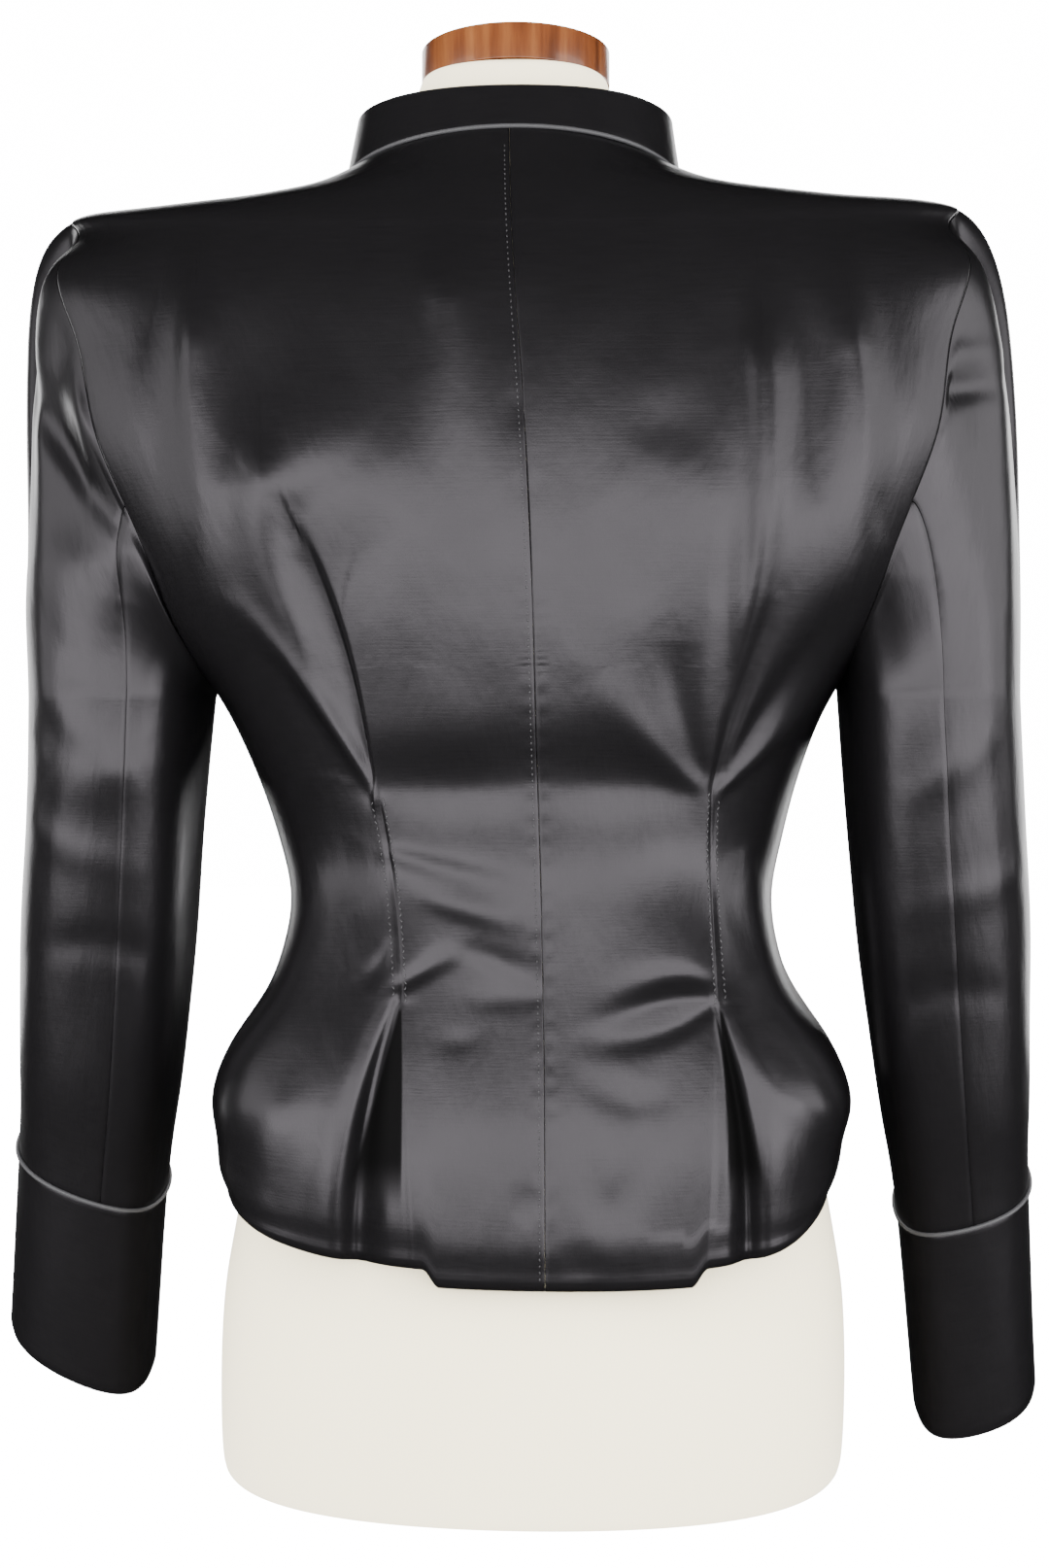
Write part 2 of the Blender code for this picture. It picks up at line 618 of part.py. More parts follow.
def form_point(row, turn):
    """Return a point of the dress form, its angle measured from the centre back."""
    part = {key: curve(row) for key, curve in FORM_CURVE.items()}
    sine, cosine = math.sin(turn), math.cos(turn)
    face = "back" if cosine >= 0 else "front"
    z = part["side_z"] + (part[face + "_z"] - part["side_z"]) * cosine ** 2
    x = part["half_w"] * sine * (1 + SQUARENESS * cosine ** 2) + BODY_LEAN(z)
    y = part[face + "_d"] * cosine * (1 + SQUARENESS * sine ** 2)
    return (x * MM, y * MM, z * MM)


def make_form(collection):
    """Make the limbless dress form and its turned neck cap."""
    count = FORM_SPANS
    points = [form_point(row, 2 * math.pi * k / count) for row in range(len(FORM)) for k in range(count)]
    faces = []
    for j in range(len(FORM) - 1):
        for i in range(count):
            k = (i + 1) % count
            faces.append((j * count + k, j * count + i, (j + 1) * count + i, (j + 1) * count + k))
    faces.append(tuple(range(count)))
    faces.append(tuple(range(len(points) - 1, len(points) - count - 1, -1)))
    mesh = bpy.data.meshes.new("form_body")
    mesh.from_pydata(points, [], faces)
    mesh.shade_smooth()
    mesh.set_sharp_from_angle(angle=math.radians(50))
    new_object("form_body", mesh, LINEN, collection)

    height = CAP_TOP - CAP_BOTTOM
    bpy.ops.mesh.primitive_cylinder_add(vertices=36, radius=CAP_RADIUS * MM, depth=height * MM,
                                        location=(BODY_LEAN(CAP_TOP) * MM, 0,
                                                  (CAP_BOTTOM + height / 2) * MM))
    cap = bpy.context.object
    cap.name = "neck_cap"
    cap.data.materials.append(new_material(WOOD))
    for owner in cap.users_collection:
        owner.objects.unlink(cap)
    collection.objects.link(cap)
    edge = cap.modifiers.new("edge", "BEVEL")
    edge.width = 1.5 * MM
    edge.segments = 1
    edge.limit_method = "ANGLE"


def main():
    """Build the blazer and its dress form."""
    for old in list(bpy.data.objects):
        bpy.data.objects.remove(old)
    collection = bpy.data.collections.new("blazer_on_dress_form")
    bpy.context.scene.collection.children.link(collection)
    for name, side in (("left", 1), ("right", -1)):
        make_panel(f"back_{name}", "back", side, collection)
        make_panel(f"front_{name}", "front", side, collection)
        make_sleeve(name, side, collection)
    make_collar(collection)
    make_buttons(collection)
    make_form(collection)


main()
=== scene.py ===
"""Look of a black satin blazer with a flared hem, on a cream dress form with a wooden neck cap.

Tables are in millimetres; +Z is up, the front faces -Y and the wearer's left is +X.
"""
import math

import bpy
import numpy as np
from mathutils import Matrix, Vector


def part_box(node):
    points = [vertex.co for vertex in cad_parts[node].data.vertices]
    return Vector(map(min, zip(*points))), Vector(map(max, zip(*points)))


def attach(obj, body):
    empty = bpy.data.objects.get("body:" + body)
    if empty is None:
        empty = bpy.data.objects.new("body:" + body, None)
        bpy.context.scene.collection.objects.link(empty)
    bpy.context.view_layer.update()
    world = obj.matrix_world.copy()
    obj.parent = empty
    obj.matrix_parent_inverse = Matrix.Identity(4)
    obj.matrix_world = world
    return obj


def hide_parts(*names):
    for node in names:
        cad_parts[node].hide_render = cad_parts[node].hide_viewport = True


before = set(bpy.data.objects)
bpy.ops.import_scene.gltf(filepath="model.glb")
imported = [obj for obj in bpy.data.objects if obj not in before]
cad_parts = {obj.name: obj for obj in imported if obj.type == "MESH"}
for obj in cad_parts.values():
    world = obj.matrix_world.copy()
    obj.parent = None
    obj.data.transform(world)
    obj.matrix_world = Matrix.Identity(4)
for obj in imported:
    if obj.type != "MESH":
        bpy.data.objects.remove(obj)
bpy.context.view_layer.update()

MM = 0.001

# Driving dimensions, as in the part's own source
CLOTH = 1.6              # wall of the satin with its backing
SEAM_GAP = 0.15
SEAM_NUDGE = 0.1           # degrees round the armhole, each side of a sleeve seam
HEAD_GAP = 0.6
HALF_GAP = 0.06
SQUARENESS = 0.12
SLEEVE_SQUARENESS = 0.2
ARMPIT = 396.0
SHOULDER_TIP = 637.0
NECKLINE = 658.0
HEM = 125.0
HEM_ROLL = 5.0
TAIL_DROP = 8.0
TAIL_INSET = 10.0
TAIL_SIDE = 8.0
HEM_SAG = 3.0
BACK_SCYE = 39.5
FRONT_SCYE = 30.0
SCYE_POWER = 0.8
OVERLAP = 18.0
UNDERLAY = 3.3
HEAD_REACH = {"left": 44.0, "right": 34.0}
CUFF_DEPTH = 96.0
PIPING = 1.1
COLLAR_SIDE = 33.0
COLLAR_BACK = 22.0
COLLAR_FRONT = 27.0
COLLAR_LEAN = 0.07
COLLAR_OPEN = 4.0
BACK_SEAM = 105
FRONT_SEAM = 240
SEAM_SWING = {"left": -3.0, "right": 15.0}
BUTTON = 9.0
BUTTON_HEIGHTS = (575.0, 508.0, 441.0, 374.0, 307.0)

SECTION_COLUMNS = ("section", "side_z", "back_z", "front_z", "back_w", "front_w", "back_d", "front_d",
                   "back_square")
SECTIONS = (
    (125, 152, 121, 140, 156.5, 156.5, 120, 117, 0.40),
    (143, 161, 141, 151, 159.0, 159.0, 117.5, 120, 0.40),
    (165, 173, 164, 168, 159.5, 159.5, 114, 121, 0.40),
    (190, 190, 190, 190, 159.5, 159.5, 108.5, 118, 0.40),
    (215, 215, 215, 215, 149.5, 149.5, 102, 110, 0.40),
    (240, 240, 240, 240, 133.0, 133.0, 95, 100, 0.38),
    (262, 262, 262, 262, 125.0, 125.0, 89, 93, 0.32),
    (285, 285, 285, 285, 122.5, 122.5, 84.5, 90, 0.22),
    (310, 310, 310, 310, 127.5, 127.5, 85, 92, 0.14),
    (340, 340, 340, 340, 136.0, 136.0, 90, 98, 0.16),
    (370, 370, 370, 370, 147.5, 147.5, 96, 107, 0.20),
    (396, 396, 396, 396, 160.5, 160.5, 100, 115, 0.25),
    (420, 420, 420, 420, 176.0, 174.0, 103, 120, 0.29),
    (445, 445, 445, 445, 193.0, 186.0, 105, 123, 0.30),
    (472, 472, 472, 472, 212.5, 197.0, 106.5, 123, 0.30),
    (510, 510, 510, 510, 233.5, 209.0, 107, 117, 0.30),
    (560, 562, 556, 546, 242.0, 221.0, 104, 108, 0.30),
    (598, 602, 588, 568, 243.0, 230.0, 98, 101, 0.27),
    (622, 620, 606, 579.5, 229.0, 225.0, 92, 96.5, 0.21),
    (637, 631, 617, 588, 209.0, 209.0, 87.5, 93, 0.15),
    (643, 630.5, 629, 592, 168.0, 168.0, 81.5, 91, 0.13),
    (650, 633.5, 642, 597, 124.0, 124.0, 74, 88.5, 0.12),
    (658, 646.0, 660, 602, 86.5, 86.5, 65, 85.5, 0.12),
)
DRIFT_COLUMNS = ("height", "x")
DRIFT = ((113, -11.0), (209, -10.0), (284, -9.0), (345, -9.0), (418, -9.8), (480, -9.0),
         (512, -8.2), (559, -6.0), (610, -3.5), (661, -1.5))
LEAN_COLUMNS = ("height", "x")
LEAN = ((0, -4.0), (200, -4.5), (300, -3.0), (400, 0.0), (560, 4.0), (650, 5.5), (717, 4.5))
TUCK_COLUMNS = ("height", "left", "right")
TUCKS = ((100, 68, 86), (236, 67, 83), (298, 71, 81), (340, 78, 84), (420, 96, 102), (520, 118, 114),
         (661, 118, 114))
TUCK_TOP = 338.0
TUCK_FOOT = 237.0
PLEAT_SPREAD = {"left": 0.32, "right": 0.20}

SLEEVE_COLUMNS = ("ring", "x", "y", "z", "half_w", "half_d", "outer_rise", "back_drop")
SLEEVES = {
    "left": (
        (0, 207.5, 4, 385, 44.0, 62, 0, 0),
        (1, 211.0, 1.5, 330, 43.0, 57, 0, 0),
        (2, 215.0, -3, 280, 43.0, 54, 1, 1),
        (3, 219.5, -9, 230, 42.0, 50, 3, 3),
        (4, 224.0, -16, 185, 39.5, 47, 8, 7),
        (5, 229.5, -23, 142, 37.0, 44, 17, 11),
        (6, 238.0, -34, 46, 36.5, 42, 20, 12),
    ),
    "right": (
        (0, 205.0, 4, 385, 44.5, 62, 0, 0),
        (1, 208.5, 1.5, 327, 44.0, 57, 0, 0),
        (2, 212.5, -3, 274, 43.0, 54, 1, 1),
        (3, 217.0, -9, 221, 40.0, 50, 3, 3),
        (4, 221.5, -16, 174, 36.5, 47, 7, 7),
        (5, 226.0, -23, 131, 33.0, 44, 12, 11),
        (6, 234.0, -34, 25, 30.5, 42, 12, 12),
    ),
}
FORM_COLUMNS = ("side_z", "back_z", "front_z", "half_w", "back_d", "front_d")
FORM = (
    (0, 0, 0, 153.5, 121.5, 115.5),
    (3.5, 3.5, 3.5, 157, 125, 119),
    (30, 30, 30, 158.5, 127, 121),
    (60, 60, 60, 158.5, 124, 120),
    (88, 86, 88, 157, 117, 116),
    (112, 104, 110, 153.5, 107.5, 109),
    (138, 120, 128, 149, 101.5, 105.5),
    (160, 150, 155, 146.5, 101.5, 105.5),
    (190, 190, 190, 146, 97, 107),
    (215, 215, 215, 137.5, 93, 101),
    (240, 240, 240, 125, 89, 92),
    (262, 262, 262, 117.5, 82.5, 85),
    (285, 285, 285, 115.5, 78, 82),
    (310, 310, 310, 120, 78, 84),
    (340, 340, 340, 128.5, 80, 90),
    (370, 370, 370, 140, 85, 99),
    (396, 396, 396, 151, 89, 107),
    (440, 440, 440, 158, 94, 114),
    (480, 480, 480, 164, 96, 113.5),
    (520, 520, 516, 170, 96, 107),
    (560, 555, 540, 176, 94, 100),
    (593, 583, 560, 180, 90, 93.5),
    (611, 598, 570, 177, 85.5, 89.5),
    (622.5, 611, 578, 167, 81, 87),
    (628.75, 623, 584, 148, 76.5, 85),
    (631.3, 636, 589.5, 121, 69.5, 82.5),
    (639, 650, 596, 87, 60.5, 78.5),
    (649, 659.5, 609, 69, 56, 67),
    (661, 668, 635, 59, 52, 57),
    (680, 681, 668, 53.5, 50, 52),
    (698.5, 698.5, 698.5, 48, 47.5, 48),
)

# Folds of the cloth. A fold runs along a smooth path through its start, middle and end
# (across, up), rises by its heights there (minus is a hollow), and dies away over its width
# to the left and right of the way it runs. Its width is a share of that at each end.
FOLD_COLUMNS = ("a0", "z0", "a1", "z1", "a2", "z2", "h0", "h1", "h2", "left", "right", "start", "end")
# Across a back is the distance from the centre-back seam
BACK_FOLDS = {
    "left": (
        (80, 338, 89, 396, 106, 454, -1.5, -5.5, -2.0, 3.5, 13, 0.3, 1.0),
        (79, 336, 114, 416, 124, 480, 0.6, 3.0, 5.0, 11, 16, 0.2, 1.0),
        (79, 335, 101, 378, 136, 424, 0.8, 2.8, 1.0, 6, 7, 0.3, 1.0),
        (88, 486, 108, 496, 128, 484, 1.4, 3.0, 1.4, 30, 28, 1.0, 1.0),
        (136, 410, 152, 475, 153, 548, 0.5, 3.0, 7.0, 19, 17, 1.0, 0.6),
        (178, 548, 172, 572, 166, 596, -0.6, -1.5, -0.5, 6, 6, 0.8, 0.8),
        (52, 470, 104, 482, 176, 430, 0.8, 3.2, 4.5, 46, 40, 1.0, 0.8),
        (20, 430, 26, 500, 30, 566, 0.3, 2.6, 6.5, 30, 26, 1.0, 0.5),
        (62, 400, 60, 450, 60, 520, 0.3, 1.0, 0.4, 14, 14, 1.0, 1.0),
        (2, 344, 40, 341, 78, 343, -2.4, -3.6, -1.6, 20, 15, 1.0, 0.8),
        (2, 282, 38, 278, 74, 282, 2.6, 3.2, 2.0, 30, 30, 1.0, 1.0),
        (71, 308, 42, 300, 12, 292, 0.8, 1.1, 0.3, 9, 7, 0.5, 1.0),
        (54, 286, 32, 280, 8, 274, -0.4, -1.1, -0.3, 7, 9, 0.6, 1.0),
        (38, 264, 22, 258, 4, 251, 0.3, 0.9, 0.7, 6, 7, 0.6, 1.0),
        (66, 247, 52, 255, 40, 262, -1.0, -1.1, -0.3, 5, 6, 0.5, 1.0),
        (92, 316, 95, 300, 90, 284, -0.6, -1.2, -0.4, 10, 10, 1.0, 1.0),
        (74, 262, 78, 254, 86, 247, -0.7, -0.9, -0.3, 5, 5, 0.6, 1.0),
        (48, 222, 40, 221, 33, 223, -0.2, -0.5, -0.2, 5, 5, 1.0, 1.0),
        (30, 240, 18, 240, 4, 241, -0.3, -0.6, -0.5, 5, 6, 1.0, 1.0),
        (12, 146, 9, 153, 7, 161, -0.3, -0.8, -0.3, 7, 7, 1.0, 1.0),
        (5, 512, 3, 517, 3, 523, -0.3, -0.7, -0.3, 4, 4, 1.0, 1.0),
        (90, 106, 86, 176, 70, 238, -9.0, -8.5, -0.8, 15, 7, 1.0, 0.14),
        (104, 126, 98, 184, 80, 237, 0.8, 1.6, 0.4, 9, 16, 1.0, 0.5),
        (98, 122, 118, 130, 150, 148, -3.0, -5.0, -4.0, 26, 22, 1.0, 1.0),
        (122, 132, 114, 160, 106, 190, -0.8, -1.6, -0.4, 12, 13, 1.0, 0.8),
        (60, 118, 63, 180, 66, 236, 0.8, 1.0, 0.2, 8, 3, 1.0, 0.6),
        (112, 192, 130, 186, 150, 184, 1.0, 2.0, 1.6, 20, 20, 1.0, 1.0),
    ),
    "right": (
        (84, 338, 97, 384, 112, 430, -1.5, -3.6, -0.8, 8, 7, 0.25, 1.0),
        (88, 372, 94, 440, 100, 505, -0.4, -1.6, -0.4, 10, 10, 0.7, 1.0),
        (85, 338, 104, 430, 112, 532, 0.8, 3.0, 6.5, 10, 15, 0.3, 0.8),
        (88, 345, 116, 388, 152, 432, -0.6, -1.6, -0.4, 7, 8, 0.4, 1.0),
        (87, 339, 120, 372, 154, 412, 1.2, 2.6, 0.8, 10, 12, 0.2, 1.0),
        (144, 420, 152, 480, 154, 544, 0.5, 3.0, 7.0, 17, 19, 1.0, 0.6),
        (134, 478, 134, 505, 136, 540, -0.5, -1.2, -0.6, 9, 10, 0.5, 1.0),
        (166, 455, 165, 468, 166, 482, -0.5, -1.2, -0.5, 8, 7, 1.0, 1.0),
        (78, 340, 55, 358, 28, 392, 0.7, 1.8, 0.6, 13, 12, 0.3, 1.0),
        (76, 352, 68, 382, 66, 408, -0.6, -1.5, -0.3, 12, 10, 0.4, 1.0),
        (96, 545, 88, 575, 84, 596, -0.4, -1.2, -0.4, 14, 14, 1.0, 1.0),
        (30, 466, 88, 476, 172, 432, 0.8, 2.4, 4.5, 46, 40, 1.0, 0.8),
        (84, 500, 66, 508, 50, 498, -0.4, -1.1, -0.4, 12, 14, 1.0, 1.0),
        (30, 470, 44, 440, 52, 425, -0.3, -0.9, -0.3, 14, 14, 1.0, 1.0),
        (2, 344, 40, 342, 76, 343, -2.4, -3.4, -1.4, 20, 15, 1.0, 0.8),
        (2, 282, 42, 279, 80, 282, 2.6, 2.8, 1.6, 30, 30, 1.0, 1.0),
        (33, 233, 58, 240, 76, 241, 0.5, 1.5, 0.7, 5, 5, 1.0, 0.6),
        (24, 221, 54, 225, 77, 236, -0.5, -1.5, -1.0, 7, 7, 1.0, 0.5),
        (40, 246, 60, 251, 76, 249, -0.5, -1.3, -0.8, 6, 6, 1.0, 0.5),
        (12, 209, 42, 194, 56, 203, -0.3, -0.8, -0.3, 8, 8, 1.0, 1.0),
        (17, 172, 31, 153, 47, 174, -0.5, -1.0, -0.5, 9, 9, 1.0, 1.0),
        (18, 122, 17, 130, 16, 140, -0.5, -0.9, -0.3, 8, 8, 1.0, 1.0),
        (92, 285, 97, 268, 104, 252, -0.5, -1.4, -0.4, 8, 8, 0.8, 1.0),
        (96, 312, 100, 296, 104, 280, 0.3, 1.2, 0.3, 7, 9, 0.8, 1.0),
        (96, 106, 93, 176, 81, 238, -7.5, -7.0, -0.8, 8, 6, 1.0, 0.2),
        (108, 130, 104, 182, 88, 237, 0.8, 1.4, 0.4, 8, 13, 1.0, 0.5),
        (98, 136, 120, 140, 150, 158, -4.0, -6.0, -5.0, 26, 22, 1.0, 1.0),
        (92, 230, 112, 198, 146, 184, 1.0, 3.0, 2.0, 16, 14, 0.5, 1.0),
        (74, 118, 77, 180, 78, 236, 0.8, 1.0, 0.2, 8, 3, 1.0, 0.6),
    ),
}
# Across a front is the distance from the centre front
FRONT_FOLDS = {
    "left": (
        (40, 470, 70, 430, 118, 400, 0.6, 1.6, 0.6, 14, 14, 1.0, 1.0),
        (30, 385, 66, 350, 104, 330, 0.5, 1.4, 0.8, 10, 11, 0.6, 1.0),
        (26, 330, 60, 312, 98, 300, -0.4, -1.2, -0.7, 8, 8, 0.5, 1.0),
        (28, 292, 64, 280, 108, 282, 0.4, 1.2, 0.6, 8, 9, 0.5, 1.0),
        (150, 560, 138, 500, 132, 440, 0.8, 2.2, 0.6, 10, 12, 0.6, 1.0),
        (172, 545, 164, 490, 158, 450, -0.6, -1.6, -0.6, 8, 8, 0.6, 1.0),
        (92, 235, 96, 190, 100, 145, 0.5, 2.6, 3.2, 15, 17, 0.5, 1.0),
        (66, 232, 66, 190, 68, 145, -0.5, -2.4, -3.0, 11, 11, 0.5, 1.0),
        (38, 226, 36, 190, 36, 150, 0.3, 1.2, 1.6, 12, 12, 0.5, 1.0),
    ),
    "right": (
        (36, 452, 74, 424, 120, 408, 0.6, 1.7, 0.6, 13, 14, 1.0, 1.0),
        (22, 375, 60, 346, 106, 336, 0.6, 1.5, 0.8, 10, 11, 0.5, 1.0),
        (22, 318, 58, 305, 100, 306, -0.5, -1.3, -0.7, 8, 8, 0.5, 1.0),
        (24, 300, 60, 284, 104, 272, 0.5, 1.2, 0.6, 8, 9, 0.5, 1.0),
        (146, 565, 136, 505, 128, 448, 0.8, 2.2, 0.6, 10, 12, 0.6, 1.0),
        (170, 540, 163, 495, 160, 455, -0.6, -1.7, -0.6, 8, 8, 0.6, 1.0),
        (96, 238, 100, 195, 103, 145, 0.5, 2.5, 3.0, 15, 17, 0.5, 1.0),
        (70, 232, 71, 190, 73, 145, -0.5, -2.4, -3.0, 11, 11, 0.5, 1.0),
        (44, 226, 42, 190, 42, 150, 0.3, 1.2, 1.6, 12, 12, 0.5, 1.0),
    ),
}
# Across a sleeve is the angle round the arm: 0 at its outer side, 90 at its back
SLEEVE_FOLDS = {
    "left": (
        (50, 436, 90, 446, 135, 430, 2.0, 4.0, 2.5, 20, 34, 1.0, 1.0),
        (70, 352, 92, 344, 118, 350, 1.0, 2.2, 1.0, 12, 16, 1.0, 1.0),
        (112, 462, 82, 500, 45, 545, -1.0, -3.6, -1.2, 9, 12, 0.5, 1.0),
        (122, 480, 100, 512, 70, 545, 0.6, 1.8, 0.6, 8, 9, 0.5, 1.0),
        (120, 365, 108, 395, 112, 430, -0.6, -1.8, -0.6, 14, 16, 1.0, 1.0),
        (60, 392, 76, 372, 100, 352, 0.5, 1.4, 0.5, 9, 9, 1.0, 1.0),
        (40, 330, 70, 312, 110, 300, 0.3, 1.0, 0.4, 9, 9, 1.0, 1.0),
        (140, 250, 100, 262, 60, 258, -0.4, -1.1, -0.3, 9, 9, 1.0, 1.0),
        (270, 330, 300, 318, 335, 326, 0.6, 2.0, 0.6, 9, 9, 1.0, 1.0),
        (275, 300, 300, 292, 330, 296, -0.6, -1.8, -0.6, 8, 8, 1.0, 1.0),
        (262, 270, 290, 262, 325, 270, 0.6, 1.6, 0.6, 9, 9, 1.0, 1.0),
        (300, 470, 318, 500, 330, 540, 0.6, 2.0, 0.6, 9, 10, 1.0, 1.0),
    ),
    "right": (
        (108, 512, 85, 524, 52, 534, -1.0, -3.2, -1.0, 6, 6, 0.6, 1.0),
        (104, 530, 80, 541, 50, 550, 0.5, 1.7, 0.5, 5, 6, 0.6, 1.0),
        (118, 490, 98, 500, 76, 508, 0.4, 1.4, 0.4, 6, 7, 0.8, 1.0),
        (122, 380, 104, 405, 100, 440, -0.5, -1.5, -0.5, 14, 16, 1.0, 1.0),
        (62, 372, 80, 352, 104, 338, 0.5, 1.3, 0.5, 9, 9, 1.0, 1.0),
        (44, 300, 72, 290, 108, 280, 0.3, 1.0, 0.4, 9, 9, 1.0, 1.0),
        (136, 228, 98, 240, 60, 236, -0.4, -1.0, -0.3, 9, 9, 1.0, 1.0),
        (268, 322, 300, 312, 334, 318, 0.6, 2.0, 0.6, 9, 9, 1.0, 1.0),
        (272, 292, 302, 286, 330, 290, -0.6, -1.8, -0.6, 8, 8, 1.0, 1.0),
        (264, 262, 292, 254, 326, 262, 0.6, 1.6, 0.6, 9, 9, 1.0, 1.0),
        (302, 465, 316, 500, 328, 535, 0.6, 2.0, 0.6, 9, 10, 1.0, 1.0),
    ),
}


# Rows of sewing that show on the back: side, across from the centre-back seam (or from the
# tuck), foot, top, spacing, length of a stitch, and its slant either way in degrees
STITCH_WIDTH = 0.75
STITCH_RISE = 0.6
STITCH_COLUMNS = ("name", "side", "from_tuck", "across", "foot", "top", "spacing", "length", "slant")
STITCHES = (
    ("centre_back_stitches", 1, False, 2.4, 120, 652, 3.1, 1.5, 6),
    ("left_tuck_stitches_inner", 1, True, -2.2, 238, 337, 3.0, 2.3, 28),
    ("left_tuck_stitches_outer", 1, True, 3.6, 241, 334, 3.1, 2.2, 30),
    ("right_tuck_stitches_inner", -1, True, -2.0, 238, 338, 3.0, 2.2, 26),
    ("right_tuck_stitches_outer", -1, True, 2.6, 240, 335, 3.1, 2.2, 28),
)


def smooth_curve(knots, values):
    """Return the natural cubic spline through the values at the knots."""
    knots = np.array(knots, dtype=float)
    values = np.array(values, dtype=float)
    step = np.diff(knots)
    count = len(knots)
    matrix = np.eye(count)
    bend = np.zeros(count)
    for i in range(1, count - 1):
        matrix[i, i - 1:i + 2] = (step[i - 1] / 6, (step[i - 1] + step[i]) / 3, step[i] / 6)
        bend[i] = (values[i + 1] - values[i]) / step[i] - (values[i] - values[i - 1]) / step[i - 1]
    bend = np.linalg.solve(matrix, bend)

    def at(place):
        place = np.clip(place, knots[0], knots[-1])
        i = np.clip(np.searchsorted(knots, place) - 1, 0, count - 2)
        high = (place - knots[i]) / step[i]
        low = 1 - high
        curve = (low ** 3 - low) * bend[i] + (high ** 3 - high) * bend[i + 1]
        return low * values[i] + high * values[i + 1] + curve * step[i] ** 2 / 6
    return at


def table_curves(columns, rows):
    """Return one smooth curve for each named column, over the first column."""
    knots = [row[0] for row in rows]
    return {name: smooth_curve(knots, [row[i] for row in rows]) for i, name in enumerate(columns) if i}


BODY = table_curves(SECTION_COLUMNS, SECTIONS)
SEAM_DRIFT = table_curves(DRIFT_COLUMNS, DRIFT)["x"]
BODY_LEAN = table_curves(LEAN_COLUMNS, LEAN)["x"]
TUCK = table_curves(TUCK_COLUMNS, TUCKS)
SLEEVE = {side: table_curves(SLEEVE_COLUMNS, rows) for side, rows in SLEEVES.items()}
FORM_CURVE = table_curves(("row",) + FORM_COLUMNS, [(i,) + row for i, row in enumerate(FORM)])


def smooth_step(share):
    """Rise smoothly from 0 to 1 as the share goes from 0 to 1."""
    share = np.clip(share, 0.0, 1.0)
    return share * share * (3 - 2 * share)


def unit(vectors):
    """Return the vectors at length 1."""
    return vectors / np.linalg.norm(vectors, axis=-1, keepdims=True)


def side_name(side):
    """Return left for 1 and right for -1."""
    return "left" if side > 0 else "right"


def body_base(face, side, angle, section):
    """Return points of the body before folds: face is back or front, side is 1 or -1."""
    width = BODY[face + "_w"](section)
    depth = BODY[face + "_d"](section)
    sine, cosine = np.sin(angle), np.cos(angle)
    side_z = BODY["side_z"](section)
    z = side_z + (BODY[face + "_z"](section) - side_z) * cosine ** 2
    square = BODY["back_square"](section) if face == "back" else SQUARENESS
    x = side * width * sine * (1 + square * cosine ** 2) + BODY_LEAN(z)
    y = depth * cosine * (1 + square * sine ** 2)
    if face == "back":
        sag = HEM_SAG * (2 * sine * cosine) ** 2 * (1 - smooth_step((section - HEM) / 84))
        return np.stack([x + SEAM_DRIFT(z) * cosine ** 4, y, z - sag], -1)
    return np.stack([x, -y, z], -1)


def body_normal(face, side, angle, section):
    """Return the outward normals of the unfolded body."""
    angle, section = np.broadcast_arrays(angle, section)
    low = np.maximum(section - 0.5, HEM)
    high = np.minimum(section + 0.5, NECKLINE)
    across = body_base(face, side, angle + 0.01, section) - body_base(face, side, angle - 0.01, section)
    up = body_base(face, side, angle, high) - body_base(face, side, angle, low)
    normal = unit(np.cross(across, up))
    out = np.stack([side * np.sin(angle), np.cos(angle) * (1 if face == "back" else -1),
                    np.full(angle.shape, 0.3)], -1)
    facing = np.sign(np.sum(normal * out, -1, keepdims=True))
    return normal * facing


def from_centre_back(side, point):
    """Return the distance of points of the back from the centre-back seam."""
    return side * (point[..., 0] - SEAM_DRIFT(point[..., 2]) - BODY_LEAN(point[..., 2]))


